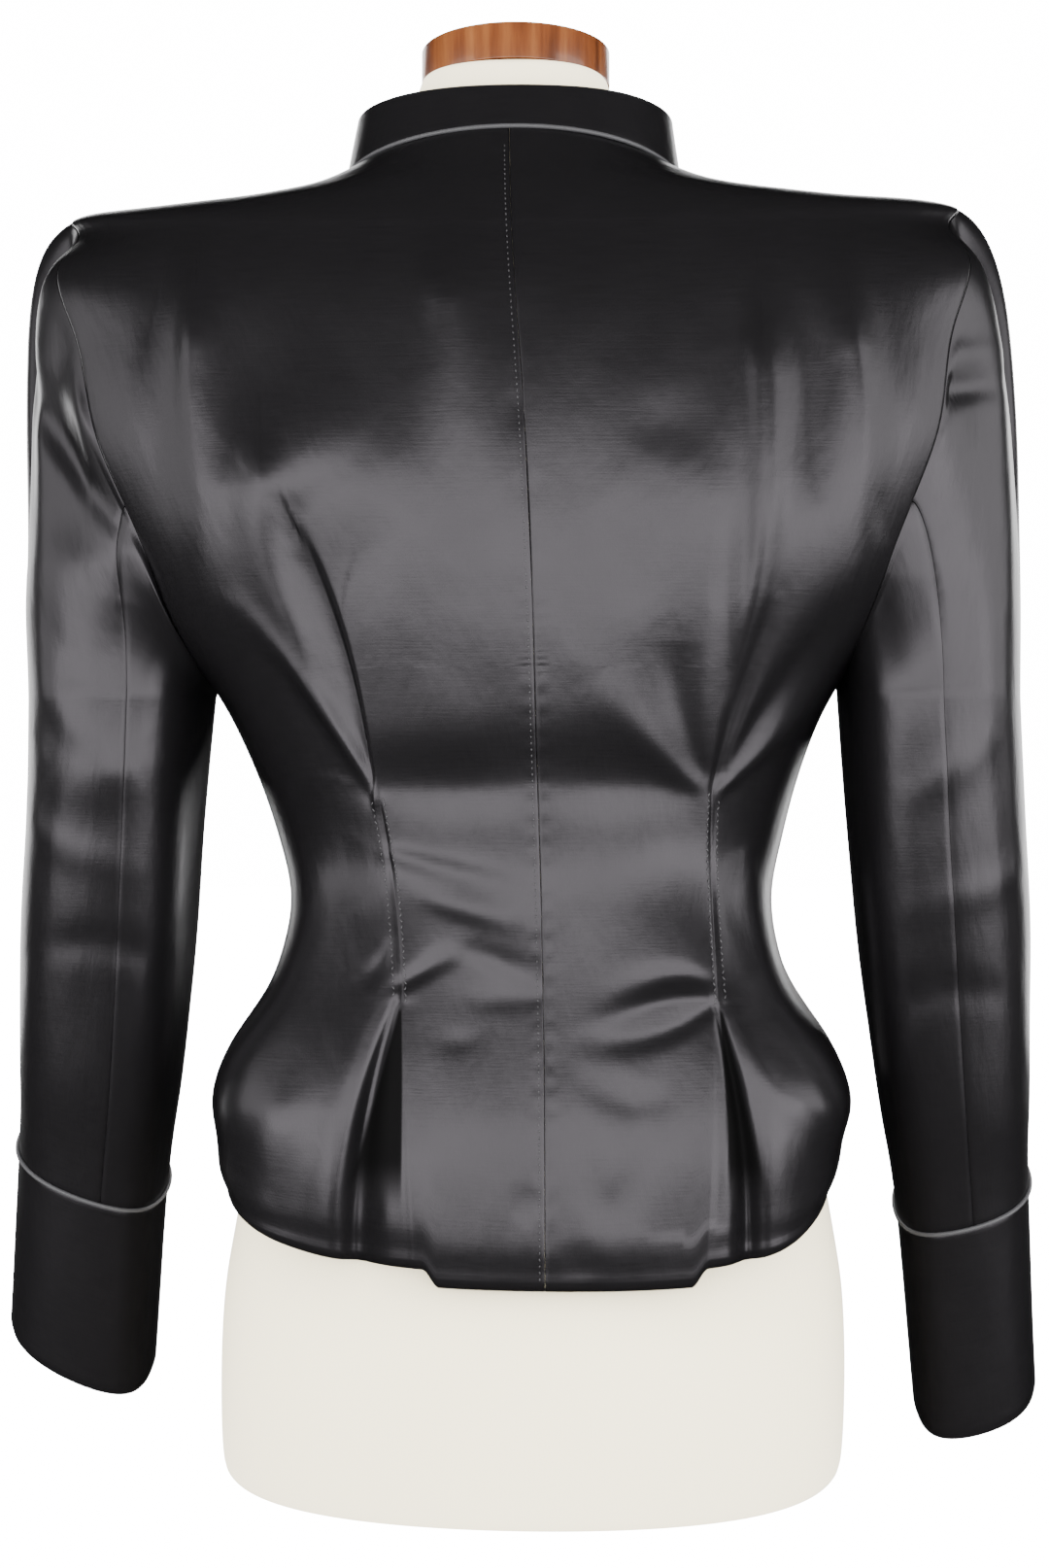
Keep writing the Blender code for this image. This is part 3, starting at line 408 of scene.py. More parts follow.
def fold_relief(folds, across, up, scale=1.0):
    """Return how far the folds lift the cloth; scale is millimetres for each step across."""
    relief = np.zeros(across.shape)
    share = np.linspace(0, 1, 19)
    for row in folds:
        f = dict(zip(FOLD_COLUMNS, row))
        bend = [2 * f[k + "1"] - (f[k + "0"] + f[k + "2"]) / 2 for k in "az"]
        path = [(1 - share) ** 2 * f[k + "0"] + 2 * share * (1 - share) * b + share ** 2 * f[k + "2"]
                for k, b in zip("az", bend)]
        reach = 3 * max(f["left"], f["right"]) + 6 * max(abs(f["h0"]), abs(f["h2"]))
        low, high = path[0].min() * scale - reach, path[0].max() * scale + reach
        near = ((across * scale > low) & (across * scale < high)
                & (up > path[1].min() - reach) & (up < path[1].max() + reach))
        if not near.any():
            continue
        a, z = across[near] * scale, up[near]
        best = np.full(a.shape, 1e9)
        away, along = np.zeros(a.shape), np.zeros(a.shape)
        for i in range(len(share) - 1):
            sa, sz = path[0][i] * scale, path[1][i]
            da, dz = path[0][i + 1] * scale - sa, path[1][i + 1] - sz
            length = math.hypot(da, dz)
            t = ((a - sa) * da + (z - sz) * dz) / length ** 2
            inner = np.clip(t, 0 if i else -9, 1 if i < len(share) - 2 else 9)
            gap = np.hypot(a - sa - inner * da, z - sz - inner * dz)
            beyond = np.abs(inner - np.clip(t, 0, 1)) * length
            distance = np.hypot(gap, beyond)
            closer = distance < best
            best = np.where(closer, distance, best)
            sign = np.where((z - sz) * da - (a - sa) * dz > 0, 1.0, -1.0)
            away = np.where(closer, gap * sign, away)
            along = np.where(closer, (i + inner) / (len(share) - 1), along)
        t = np.clip(along, 0, 1)
        height = f["h0"] * (1 - t) * (1 - 2 * t) + f["h1"] * 4 * t * (1 - t) + f["h2"] * t * (2 * t - 1)
        width = np.where(away > 0, f["left"], f["right"]) * (f["start"] + (f["end"] - f["start"]) * t)
        length = np.hypot(np.diff(path[0]) * scale, np.diff(path[1])).sum()
        soft = 1.1 * width + 2 + 3.2 * np.maximum(np.abs(height) - 2, 0)
        fade = np.exp(-(np.maximum(np.abs(along - 0.5) - 0.5, 0) * length / soft) ** 2)
        relief[near] += height * fade * np.exp(-(away / width) ** 2)
    return relief


def slight_waves(across, up, size=0.22):
    """Return the faint unevenness that satin keeps even where it lies smooth."""
    return size * (np.sin(across / 17 + up / 41 + 0.6) + 0.7 * np.sin(up / 23 - across / 37 + 2.1)
                   + 0.4 * np.sin(across / 8.5 - up / 13 + 1.2))


def edge_angle(face, section):
    """Return where the panel ends round the section: side seam, armhole or shoulder seam."""
    middle, half = (SHOULDER_TIP + ARMPIT) / 2, (SHOULDER_TIP - ARMPIT) / 2
    reach = BACK_SCYE if face == "back" else FRONT_SCYE
    share = np.clip(1 - (np.abs(section - middle) / half) ** (2 / SCYE_POWER), 0, 1)
    return math.pi / 2 - math.radians(reach) * share ** (SCYE_POWER / 2)


def scye_section(turn):
    """Return the section number at an angle round the armhole, 0 at the shoulder tip."""
    cosine = np.cos(turn)
    share = np.copysign(np.abs(cosine) ** SCYE_POWER, cosine)
    return (SHOULDER_TIP + ARMPIT) / 2 + (SHOULDER_TIP - ARMPIT) / 2 * share


def panel_sections():
    """Return the sections of a body panel, hem to neckline."""
    below = np.linspace(HEM, ARMPIT, 118)[:-1]
    round_armhole = scye_section(np.pi * (1 - np.linspace(0, 1, 97)))
    scye = 0.75 * round_armhole + 0.25 * np.linspace(ARMPIT, SHOULDER_TIP, 97)
    above = np.linspace(SHOULDER_TIP, NECKLINE, 13)[1:]
    return np.concatenate([below, scye, above])


def angle_at(side, p, section):
    """Return the angles round back sections at p from the centre-back seam."""
    low, high = np.zeros(p.shape), np.full(p.shape, math.pi / 2)
    for _ in range(26):
        middle = (low + high) / 2
        short = from_centre_back(side, body_base("back", side, middle, section)) < p
        low, high = np.where(short, middle, low), np.where(short, high, middle)
    return (low + high) / 2


def back_angles(side, section):
    """Return the angles across a back panel, closer together about the tuck."""
    end = edge_angle("back", section) - HALF_GAP / BODY["back_d"](section)
    edge = body_base("back", side, end, section)
    reach = from_centre_back(side, edge)
    tuck = np.minimum(TUCK[side_name(side)](edge[:, 2]), 0.55 * reach)
    scale = np.minimum(1.0, reach / 150)
    near, far = tuck - 20 * scale, tuck + 40 * scale
    seam = np.concatenate([[0, 0.02, 0.05, 0.09], np.linspace(0.13, 1, 22)])[:-1]
    centre = HALF_GAP + (near - HALF_GAP)[:, None] * seam
    beside = near[:, None] + (far - near)[:, None] * np.linspace(0, 1, 66)
    inner = angle_at(side, np.concatenate([centre, beside], 1), section[:, None])
    share = np.concatenate([np.linspace(0, 0.9, 32)[1:], [0.93, 0.96, 0.98, 0.992, 1.0]])
    outer = inner[:, -1:] + (end[:, None] - inner[:, -1:]) * share
    return np.concatenate([inner, outer], 1)


def front_angles(side, section):
    """Return the angles across a front, from past the centre to its edge."""
    width = BODY["front_w"](section)
    start = np.arcsin(-OVERLAP / width / (1 + SQUARENESS))
    end = edge_angle("front", section) - HALF_GAP / BODY["front_d"](section)
    share = np.concatenate([[0, 0.004, 0.01, 0.018], np.linspace(0.028, 0.96, 92),
                            [0.975, 0.988, 0.995, 1.0]])
    return start[:, None] + (end - start)[:, None] * share


def back_surface(side, angle, section):
    """Return points of the folded back, with the base normals."""
    base = body_base("back", side, angle, section)
    normal = body_normal("back", side, angle, section)
    p = from_centre_back(side, base)
    z = base[..., 2]
    tuck = TUCK[side_name(side)](z)
    lift = fold_relief(BACK_FOLDS[side_name(side)], p, z) + slight_waves(p + 40 * side, z)
    stitched = smooth_step((z - TUCK_FOOT) / 4) * smooth_step((TUCK_TOP - z) / 4)
    line = np.exp(-((p - tuck) / 0.9) ** 2)
    pucker = np.exp(-((p - tuck) / 3.2) ** 2) * np.sin(z * 2 * math.pi / 4.6)
    lift += stitched * (-0.9 * line + 0.22 * pucker + 0.5 * np.exp(-((p - tuck) / 7) ** 2))
    lift -= 0.7 * np.exp(-(p / 1.1) ** 2)
    quilt = np.exp(-((p - 3.0) / 1.2) ** 2) * smooth_step((640 - z) / 20)
    lift -= 0.16 * quilt * (1 + np.sin(z * 2 * math.pi / 3.0))
    edge = (edge_angle("back", section) - angle) * BODY["back_w"](section)
    lift -= 0.6 * np.exp(-(edge / 1.3) ** 2) * np.ones(lift.shape)
    lift -= 2.2 * np.exp(-((section - HEM) / 9) ** 2)
    point = base + normal * lift[..., None]
    tail = smooth_step((tuck - TAIL_INSET - p) / TAIL_SIDE)
    point[..., 2] -= TAIL_DROP * tail * smooth_step((190 - z) / 60)
    return point, normal


def front_surface(side, angle, section):
    """Return points of a folded front; the left one runs under the right one."""
    base = body_base("front", side, angle, section)
    normal = body_normal("front", side, angle, section)
    x, z = side * (base[..., 0] - BODY_LEAN(base[..., 2])), base[..., 2]
    ease = smooth_step((x - 12) / 16)
    lift = (fold_relief(FRONT_FOLDS[side_name(side)], x, z) + slight_waves(x - 30 * side, z)) * ease
    edge = (edge_angle("front", section) - angle) * BODY["front_w"](section)
    lift = lift - 0.6 * np.exp(-(edge / 1.3) ** 2) - 2.2 * np.exp(-((section - HEM) / 9) ** 2)
    point = base + normal * lift[..., None]
    if side > 0:
        under = 1 - smooth_step((base[..., 0] - OVERLAP - 4) / 22)
        point = point - normal * (UNDERLAY * under)[..., None]
        point[..., 2] += HEM_ROLL * under * smooth_step((160 - z) / 20)
    return point, normal


def flat_mesh(name, points, closed=False, flip=False, crease=None):
    """Return an object of one grid of points, with a cloth map in metres along both ways."""
    rows, across = points.shape[:2]
    span = np.arange(across if closed else across - 1)
    j, i = np.meshgrid(np.arange(rows - 1), span, indexing="ij")
    k = (i + 1) % across
    quads = np.stack([j * across + i, j * across + k, (j + 1) * across + k, (j + 1) * across + i], -1)
    quads = quads.reshape(-1, 4)
    if flip:
        quads = quads[:, ::-1]
    mesh = bpy.data.meshes.new(name)
    mesh.from_pydata((points.reshape(-1, 3) * MM).tolist(), [], quads.tolist())
    wide = np.linalg.norm(np.diff(points, axis=1), axis=2).mean(0)
    tall = np.linalg.norm(np.diff(points, axis=0), axis=2).mean(1)
    u = np.concatenate([[0], np.cumsum(wide)])
    v = np.concatenate([[0], np.cumsum(tall)])
    if closed:
        u = np.append(u, u[-1] + wide[-1])
    corner_u = u[np.stack([i, i + 1, i + 1, i], -1).reshape(-1, 4)]
    corner_v = v[np.stack([j, j, j + 1, j + 1], -1).reshape(-1, 4)]
    if flip:
        corner_u, corner_v = corner_u[:, ::-1], corner_v[:, ::-1]
    cloth_map = mesh.uv_layers.new(name="cloth")
    cloth_map.data.foreach_set("uv", (np.stack([corner_u, corner_v], -1) * MM).reshape(-1))
    if crease is not None:
        mesh.attributes.new("crease", "FLOAT", "POINT").data.foreach_set("value", crease.reshape(-1))
    mesh.shade_smooth()
    piece = bpy.data.objects.new(name, mesh)
    bpy.context.scene.collection.objects.link(piece)
    return piece


def apply_modifiers(piece):
    """Apply every modifier of the piece."""
    bpy.ops.object.select_all(action="DESELECT")
    piece.select_set(True)
    bpy.context.view_layer.objects.active = piece
    for modifier in list(piece.modifiers):
        bpy.ops.object.modifier_apply(modifier=modifier.name)


def cloth(name, points, material, closed=False, flip=False, wall=CLOTH, crease=None):
    """Make a cloth piece on a grid of outer points, thickened inwards, its rim softened."""
    piece = flat_mesh(name + "_cloth", points, closed, flip, crease)
    piece.data.materials.append(material)
    thick = piece.modifiers.new("wall", "SOLIDIFY")
    thick.thickness = wall * MM
    thick.offset = -1.0
    thick.use_quality_normals = True
    rim = piece.modifiers.new("rim", "BEVEL")
    rim.width = 0.3 * wall * MM
    rim.segments = 2
    rim.limit_method = "ANGLE"
    rim.angle_limit = math.radians(60)
    apply_modifiers(piece)
    finish(piece, name)
    return piece


def finish(piece, node):
    """Ride on the part's one body and stand for the CAD node."""
    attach(piece, "root")
    if node:
        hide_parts(node)


def hem_rows(points, normals, steps=7):
    """Return the grid with its turned-in lower edge."""
    rolled = []
    for degrees in np.linspace(95, 95 / steps, steps):
        turn = math.radians(degrees)
        drop = np.array([0, 0, -HEM_ROLL * math.sin(turn)])
        rolled.append(points[0] - normals[0] * HEM_ROLL * (1 - math.cos(turn)) + drop)
    return np.concatenate([np.array(rolled), points])


def pleat_depth(side, base):
    """Return how deep each point lies in the wedge that opens under the tuck, from 0 to 1; the satin is
    painted in shade by this share.
    """
    name = side_name(side)
    past = from_centre_back(side, base) - TUCK[name](base[..., 2])
    fall = TUCK_FOOT - base[..., 2]
    wide = PLEAT_SPREAD[name] * np.maximum(fall, 0) + 0.6
    inside = smooth_step((past + 0.8) / 1.2) * smooth_step((wide - past) / (1 + 0.12 * wide) + 0.5)
    return inside * smooth_step(fall / 3) * smooth_step((base[..., 2] - 142) / 26)


def make_panels(satin):
    """Make the backs and fronts."""
    section = panel_sections()
    pieces = {}
    for face, columns, surface in (("back", back_angles, back_surface),
                                   ("front", front_angles, front_surface)):
        for side in (1, -1):
            angle = columns(side, section)
            points, normals = surface(side, angle, section[:, None])
            # sunk is the depth in the wedge under each tuck, where the satin is painted in shade
            sunk = 0 * angle
            if face == "back":
                sunk = pleat_depth(side, body_base("back", side, angle, section[:, None]))
            points = hem_rows(points, normals)
            sunk = np.concatenate([np.zeros((len(points) - len(sunk), sunk.shape[1])), sunk])
            outward = side if face == "front" else -side
            name = f"{face}_{side_name(side)}"
            pieces[name] = cloth(name, points, satin, flip=outward < 0, crease=sunk)
    return pieces


def scye_point(side, turn):
    """Return the armhole seam at angles round it, with its normals and ways outwards."""
    turn = turn % (2 * math.pi)
    back = (turn <= math.pi)[:, None]
    section = scye_section(turn)
    found = []
    for face, surface in (("back", back_surface), ("front", front_surface)):
        angle = edge_angle(face, section)
        point, normal = surface(side, angle, section)
        along = []
        for near_turn in (turn - 0.03, turn + 0.03):
            at = scye_section(near_turn)
            along.append(body_base(face, side, edge_angle(face, at), at))
        inside = body_base(face, side, angle - 0.05, section)
        outward = unit(np.cross(normal, unit(along[1] - along[0])))
        facing = np.where(np.sum(outward * (point - inside), -1, keepdims=True) < 0, -1.0, 1.0)
        found.append((point, normal, outward * facing))
    return [np.where(back, found[0][i], found[1][i]) for i in range(3)]


def sleeve_ring(side, turn, ring):
    """Return points of the sleeve below the armhole."""
    part = {key: curve(ring) for key, curve in SLEEVE[side_name(side)].items()}
    cosine, sine = np.cos(turn), np.sin(turn)
    x = side * (part["x"] + part["half_w"] * cosine * (1 + SLEEVE_SQUARENESS * sine ** 2))
    y = part["y"] + part["half_d"] * sine * (1 + SLEEVE_SQUARENESS * cosine ** 2)
    z = part["z"] + part["outer_rise"] * cosine - part["back_drop"] * sine
    return np.stack([x, y, z], -1)


def arm_angle(side, turn):
    """Return the angle round the arm that an angle round the armhole leads to."""
    degrees = np.degrees(turn) % 360
    most = SEAM_SWING[side_name(side)]
    swing = np.where(degrees < FRONT_SEAM, most * np.sin(np.pi * degrees / FRONT_SEAM), 0.0)
    return turn - np.radians(swing)


def sleeve_grid(side, turns):
    """Return the grid of a sleeve piece, armhole to cuff seam."""
    seam, normal, outward = scye_point(side, turns)
    from_top = np.abs((np.degrees(turns) + 180) % 360 - 180)[:, None]
    fold = np.radians(165 * smooth_step((from_top - 70) / 110))
    way = outward * np.cos(fold) + normal * np.sin(fold)
    gap_way = unit(outward * (np.maximum(np.cos(fold), 0.0) + 0.001) + normal * np.sin(fold))
    head = 1 - smooth_step((from_top - 40) / 40)
    start = seam + gap_way * (SEAM_GAP + HEAD_GAP * head)
    end = sleeve_ring(side, arm_angle(side, turns), 0)
    top = smooth_step(1 - from_top / 180)
    reach = 3.5 + (HEAD_REACH[side_name(side)] - 3.5) * top ** 2
    rise = (start[:, 2:] - end[:, 2:]) * (0.4 + 0.35 * top)
    near = start + way * reach
    far = end + rise * np.array([0, 0, 1.0])
    share = (np.linspace(0, 1, 66) ** 1.25)[:, None, None]
    rest = 1 - share
    upper = rest ** 3 * start + 3 * rest ** 2 * share * near + 3 * rest * share ** 2 * far + share ** 3 * end
    rings = np.linspace(0, 5, 96)[1:, None]
    lower = sleeve_ring(side, arm_angle(side, turns)[None, :], rings)
    points = np.concatenate([upper, lower])
    along = np.gradient(points, axis=0)
    across = np.gradient(points, axis=1)
    normals = unit(np.cross(along, across))
    centre = points.mean(axis=1, keepdims=True)
    if np.sum(normals[80:] * (points - centre)[80:]) < 0:
        normals = -normals
    degrees = np.degrees(arm_angle(side, turns)) % 360
    around = np.broadcast_to(degrees, points.shape[:2])
    up = points[..., 2]
    lift = fold_relief(SLEEVE_FOLDS[side_name(side)], around, up, 0.87)
    lift = lift + slight_waves(around * 0.87, up, 0.2)
    rows = np.concatenate([np.linspace(0, 1, 66) ** 1.25, np.ones(95)])[:, None]
    from_cuff = np.arange(points.shape[0])[::-1, None]
    lift = lift * smooth_step(rows * 8) * smooth_step(from_cuff / 6)
    ends = np.minimum(turns - turns[0], turns[-1] - turns) * 50
    lift = lift - 0.6 * np.exp(-(ends / 1.1) ** 2)
    return points + normals * lift[..., None]


def make_sleeves(satin, piping):
    """Make the top and under sleeves, the cuffs and their piping."""
    nudge = math.radians(SEAM_NUDGE)
    back, front = math.radians(BACK_SEAM), math.radians(FRONT_SEAM)
    pieces = {}
    for side in (1, -1):
        name = side_name(side)
        for piece, start, end, count in (("under", back, front, 84), ("top", front, back + 2 * math.pi, 138)):
            inner = np.linspace(start + nudge, end - nudge, count)
            rim = math.radians(0.8)
            turns = np.sort(np.concatenate([inner, [start + nudge + rim, end - nudge - rim]]))
            label = f"sleeve_{piece}_{name}"
            pieces[label] = cloth(label, sleeve_grid(side, turns), satin, flip=side > 0)
        turns = np.linspace(0, 2 * math.pi, 193)[:-1]
        gap = SEAM_GAP / CUFF_DEPTH
        share = gap + (1 - gap) * np.linspace(0, 1, 41)[:, None]
        points = sleeve_ring(side, arm_angle(side, turns)[None, :], 5 + share)
        centre = points.mean(axis=1, keepdims=True)
        out = unit((points - centre) * np.array([1, 1, 0]))
        around = np.degrees(arm_angle(side, turns))[None, :] * 0.75 + 0 * share
        lift = slight_waves(around, points[..., 2], 0.12) - 0.5 * np.exp(-(share * CUFF_DEPTH / 1.2) ** 2)
        lift = lift - 0.9 * smooth_step((share - 0.975) / 0.025)
        label = f"cuff_{name}"
        pieces[label] = cloth(label, points + out * lift[..., None], satin, closed=True, flip=side > 0)
        seam = sleeve_ring(side, arm_angle(side, turns), 5)
        middle = np.array([side * SLEEVE[name]["x"](5), SLEEVE[name]["y"](5), 0])
        out = unit((seam - middle) * np.array([1, 1, 0]))
        cord(f"cuff_piping_{name}", seam + out * (PIPING + SEAM_GAP - 0.5), True, piping)
    return pieces


def cord(name, path, closed, material, radius=PIPING):
    """Make a fine round piping along the path."""
    curve = bpy.data.curves.new(name, "CURVE")
    curve.dimensions = "3D"
    curve.bevel_depth = radius * MM
    curve.bevel_resolution = 3
    curve.use_fill_caps = not closed
    spline = curve.splines.new("POLY")
    spline.points.add(len(path) - 1)
    spline.points.foreach_set("co", np.c_[path * MM, np.ones(len(path))].reshape(-1))
    spline.use_cyclic_u = closed
    curve.materials.append(material)
    piece = bpy.data.objects.new(name + "_cord", curve)
    bpy.context.scene.collection.objects.link(piece)
    finish(piece, name)
    return piece


def neck_ring(turns):
    """Return the neck seam at angles from the centre front, with the body's normals."""
    side = np.where(turns <= math.pi, 1, -1)
    from_front = np.where(turns <= math.pi, turns, 2 * math.pi - turns)
    points, normals = np.zeros((len(turns), 3)), np.zeros((len(turns), 3))
    for way in (1, -1):
        for face in ("front", "back"):
            here = (side == way) & ((from_front <= math.pi / 2) == (face == "front"))
            angle = from_front[here] if face == "front" else math.pi - from_front[here]
            section = np.full(angle.shape, NECKLINE)
            points[here] = body_base(face, way, angle, section)
            normals[here] = body_normal(face, way, np.minimum(angle, 1.55), section - 1)
    return points, normals


def make_collar(satin, piping):
    """Make the standing collar and the piping in its seam."""
    start = math.asin(COLLAR_OPEN / BODY["front_w"](NECKLINE))
    turns = np.linspace(start, 2 * math.pi - start, 301)
    seam, normal = neck_ring(turns)
    share = np.concatenate([[0, 0.03], np.linspace(0.07, 0.93, 17), [0.97, 1.0]])[:, None]
    end = np.where(np.cos(turns) > 0, COLLAR_FRONT, COLLAR_BACK)
    height = end + (COLLAR_SIDE - end) * np.sin(turns) ** 2
    narrow = 1 - COLLAR_LEAN * share
    rise = seam[:, 2] + 2 * SEAM_GAP + height * share
    points = np.stack([seam[:, 0] * narrow, seam[:, 1] * narrow, rise], -1)
    out = unit(seam * np.array([1, 1, 0]))
    lift = 0.25 * np.sin(turns * 7 + 1) * share + 0.5 * np.sin(turns * 3 + 0.6) * share ** 2
    lift = lift - 0.5 * np.exp(-(share / 0.05) ** 2)
    points = points + out * lift[..., None]
    collar = cloth("collar", points, satin, wall=2.0)
    upright = unit(np.stack([seam[:, 0], seam[:, 1], np.full(len(turns), 12.0)], -1))
    reach = 0.6 * PIPING / (1 + np.sum(upright * normal, -1, keepdims=True))
    cord("neck_piping", seam + (upright + normal) * reach, False, piping)
    return collar


def make_form(jersey):
    """Make the limbless dress form."""
    turns = np.linspace(0, 2 * math.pi, 161)[:-1]
    row = np.concatenate([np.linspace(0, 1, 5)[:-1], np.linspace(1, len(FORM) - 1, 170)])[:, None]
    part = {key: curve(row) for key, curve in FORM_CURVE.items()}
    sine, cosine = np.sin(turns), np.cos(turns)
    back = cosine >= 0
    z = part["side_z"] + (np.where(back, part["back_z"], part["front_z"]) - part["side_z"]) * cosine ** 2
    x = part["half_w"] * sine * (1 + SQUARENESS * cosine ** 2) + BODY_LEAN(z)
    y = np.where(back, part["back_d"], part["front_d"]) * cosine * (1 + SQUARENESS * sine ** 2)
    points = np.stack([x, y, z], -1)
    piece = flat_mesh("form_cover", points, closed=True, flip=True)
    bpy.ops.object.select_all(action="DESELECT")
    bpy.context.view_layer.objects.active = piece
    piece.select_set(True)
    bpy.ops.object.mode_set(mode="EDIT")
    bpy.ops.mesh.select_all(action="DESELECT")
    bpy.ops.mesh.select_mode(type="EDGE")
    bpy.ops.mesh.select_non_manifold()
    bpy.ops.mesh.edge_face_add()
    bpy.ops.object.mode_set(mode="OBJECT")
    piece.data.materials.append(jersey)
    piece.visible_glossy = False
    finish(piece, "form_body")
    return piece


def join_copies(name, pattern, places, material):
    """Make one mesh of a small pattern piece, copied to each place and way it lies."""
    corners = np.array([v.co for v in pattern.data.vertices])
    faces = [tuple(face.vertices) for face in pattern.data.polygons]
    points = np.concatenate([corners @ frame_rows + place for place, frame_rows in places])
    count = len(corners)
    copies = [tuple(k * count + v for v in face) for k in range(len(places)) for face in faces]
    mesh = bpy.data.meshes.new(name)
    mesh.from_pydata((points * MM).tolist(), [], copies)
    mesh.shade_smooth()
    mesh.materials.append(material)
    piece = bpy.data.objects.new(name, mesh)
    bpy.context.scene.collection.objects.link(piece)
    finish(piece, None)
    return piece


def make_stitches(thread):
    """Sew the rows of small stitches at the centre back and the tucks."""
    bpy.ops.object.select_all(action="DESELECT")
    bpy.ops.mesh.primitive_uv_sphere_add(segments=6, ring_count=4, radius=0.5)
    pattern = bpy.context.object
    for row in STITCHES:
        stitch = dict(zip(STITCH_COLUMNS, row))
        side = stitch["side"]
        height = np.arange(stitch["foot"], stitch["top"], stitch["spacing"] / 4)
        table = np.linspace(HEM, NECKLINE, 400)
        section = np.interp(height, BODY["back_z"](table), table)
        across = np.full(height.shape, float(stitch["across"]))
        if stitch["from_tuck"]:
            across = across + TUCK[side_name(side)](height)
        angle = angle_at(side, across, section)
        point, normal = back_surface(side, angle, section)
        run = np.concatenate([[0], np.cumsum(np.linalg.norm(np.diff(point, axis=0), axis=1))])
        places = []
        for k, at in enumerate(np.arange(1, run[-1] - 1, stitch["spacing"])):
            here, ahead = [np.array([np.interp(a, run, point[:, i]) for i in range(3)])
                           for a in (at, at + 0.5)]
            out = unit(np.array([np.interp(at, run, normal[:, i]) for i in range(3)]))
            up = unit(ahead - here)
            beside = unit(np.cross(out, up))
            slant = math.radians(stitch["slant"] * (1 if k % 2 else -1))
            along = up * math.cos(slant) + beside * math.sin(slant)
            cross = unit(np.cross(out, along))
            size = 1 + 0.12 * math.sin(k * 2.4)
            shape = np.array([cross * STITCH_WIDTH, along * stitch["length"] * size, out * STITCH_RISE])
            places.append((here + out * 0.1, shape))
        join_copies(stitch["name"], pattern, places, thread)
    bpy.data.objects.remove(pattern)


def settle(piece):
    """Move a piece's place into its mesh."""
    bpy.ops.object.select_all(action="DESELECT")
    piece.select_set(True)
    bpy.context.view_layer.objects.active = piece
    bpy.ops.object.transform_apply(location=True, rotation=True, scale=True)


def choose_faces(piece, test):
    """Select the faces of the piece that pass the test, in edit mode."""
    bpy.ops.object.mode_set(mode="EDIT")
    bpy.ops.mesh.select_mode(type="FACE")
    bpy.ops.mesh.select_all(action="DESELECT")
    bpy.ops.object.mode_set(mode="OBJECT")
    for face in piece.data.polygons:
        face.select = test(face)
    bpy.ops.object.mode_set(mode="EDIT")


def front_seat(height):
    """Return the section, seat and outward normal of the right front at a height of its edge."""
    table = np.linspace(HEM, NECKLINE, 400)
    section = float(np.interp(height, BODY["front_z"](table), table))
    point, normal = front_surface(-1, np.array([0.0]), np.array([section]))
    return section, point[0], normal[0]


def make_buttons(black, thread):
    """Make the dished buttons with their thread, and the worked buttonholes."""
    for number, height in enumerate(BUTTON_HEIGHTS, 1):
        low, high = (np.array(corner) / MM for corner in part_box(f"button_{number}"))
        centre = (low + high) / 2
        normal = front_seat(height)[2]
        tilt = math.asin(normal[2])
        bpy.ops.object.select_all(action="DESELECT")
        bpy.ops.mesh.primitive_cylinder_add(vertices=48, radius=BUTTON * MM, depth=3.2 * MM,
                                            location=(0, 0, 0), rotation=(0, 0, 0))
        button = bpy.context.object
        button.name = f"turned_button_{number}"
        choose_faces(button, lambda face: face.normal.z > 0.9)
        bpy.ops.mesh.inset(thickness=1.7 * MM)
        bpy.ops.transform.translate(value=(0, 0, -0.25 * MM))
        bpy.ops.mesh.inset(thickness=1.5 * MM)
        bpy.ops.transform.translate(value=(0, 0, -0.75 * MM))
        bpy.ops.mesh.inset(thickness=3.6 * MM)
        bpy.ops.transform.translate(value=(0, 0, -0.1 * MM))
        bpy.ops.object.mode_set(mode="OBJECT")
        rim = button.modifiers.new("rim", "BEVEL")
        rim.width = 0.55 * MM
        rim.segments = 3
        rim.limit_method = "ANGLE"
        rim.angle_limit = math.radians(25)
        apply_modifiers(button)
        button.data.shade_smooth()
        button.rotation_euler = (math.pi / 2 - tilt, 0, 0)
        button.location = tuple(centre * MM)
        settle(button)
        button.data.materials.append(black)
        finish(button, f"button_{number}")
        across = np.array([1.0, 0, 0])
        up = unit(np.cross(across, normal))
        up = up if up[2] > 0 else -up
        bpy.ops.object.select_all(action="DESELECT")
        bpy.ops.mesh.primitive_uv_sphere_add(segments=8, ring_count=6, radius=0.5)
        pattern = bpy.context.object
        places = []
        for shift in (-1.5, 1.5):
            for strand in (-0.28, 0.0, 0.28):
                middle = centre + normal * 0.72 + across * (shift + strand)
                places.append((middle, np.array([across * 0.42, up * 4.4, normal * 0.62])))
        join_copies(f"button_thread_{number}", pattern, places, thread)
        places = []
        table = np.linspace(HEM, NECKLINE, 400)
        for k in range(64):
            turn = 2 * math.pi * k / 64
            shift = 9.0 * math.cos(turn) + 8.0
            rise = 0.85 * math.sin(turn) if abs(math.cos(turn)) < 0.97 else 1.2 * math.sin(turn)
            at = float(np.interp(height + rise, BODY["front_z"](table), table))
            angle = math.asin(shift / BODY["front_w"](at) / (1 + SQUARENESS))
            point, way = front_surface(-1, np.array([angle]), np.array([at]))
            places.append((point[0] + way[0] * 0.1, np.array([across * 0.5, up * 1.5, way[0] * 0.8])))
        join_copies(f"buttonhole_{number}", pattern, places, thread)
        bpy.data.objects.remove(pattern)


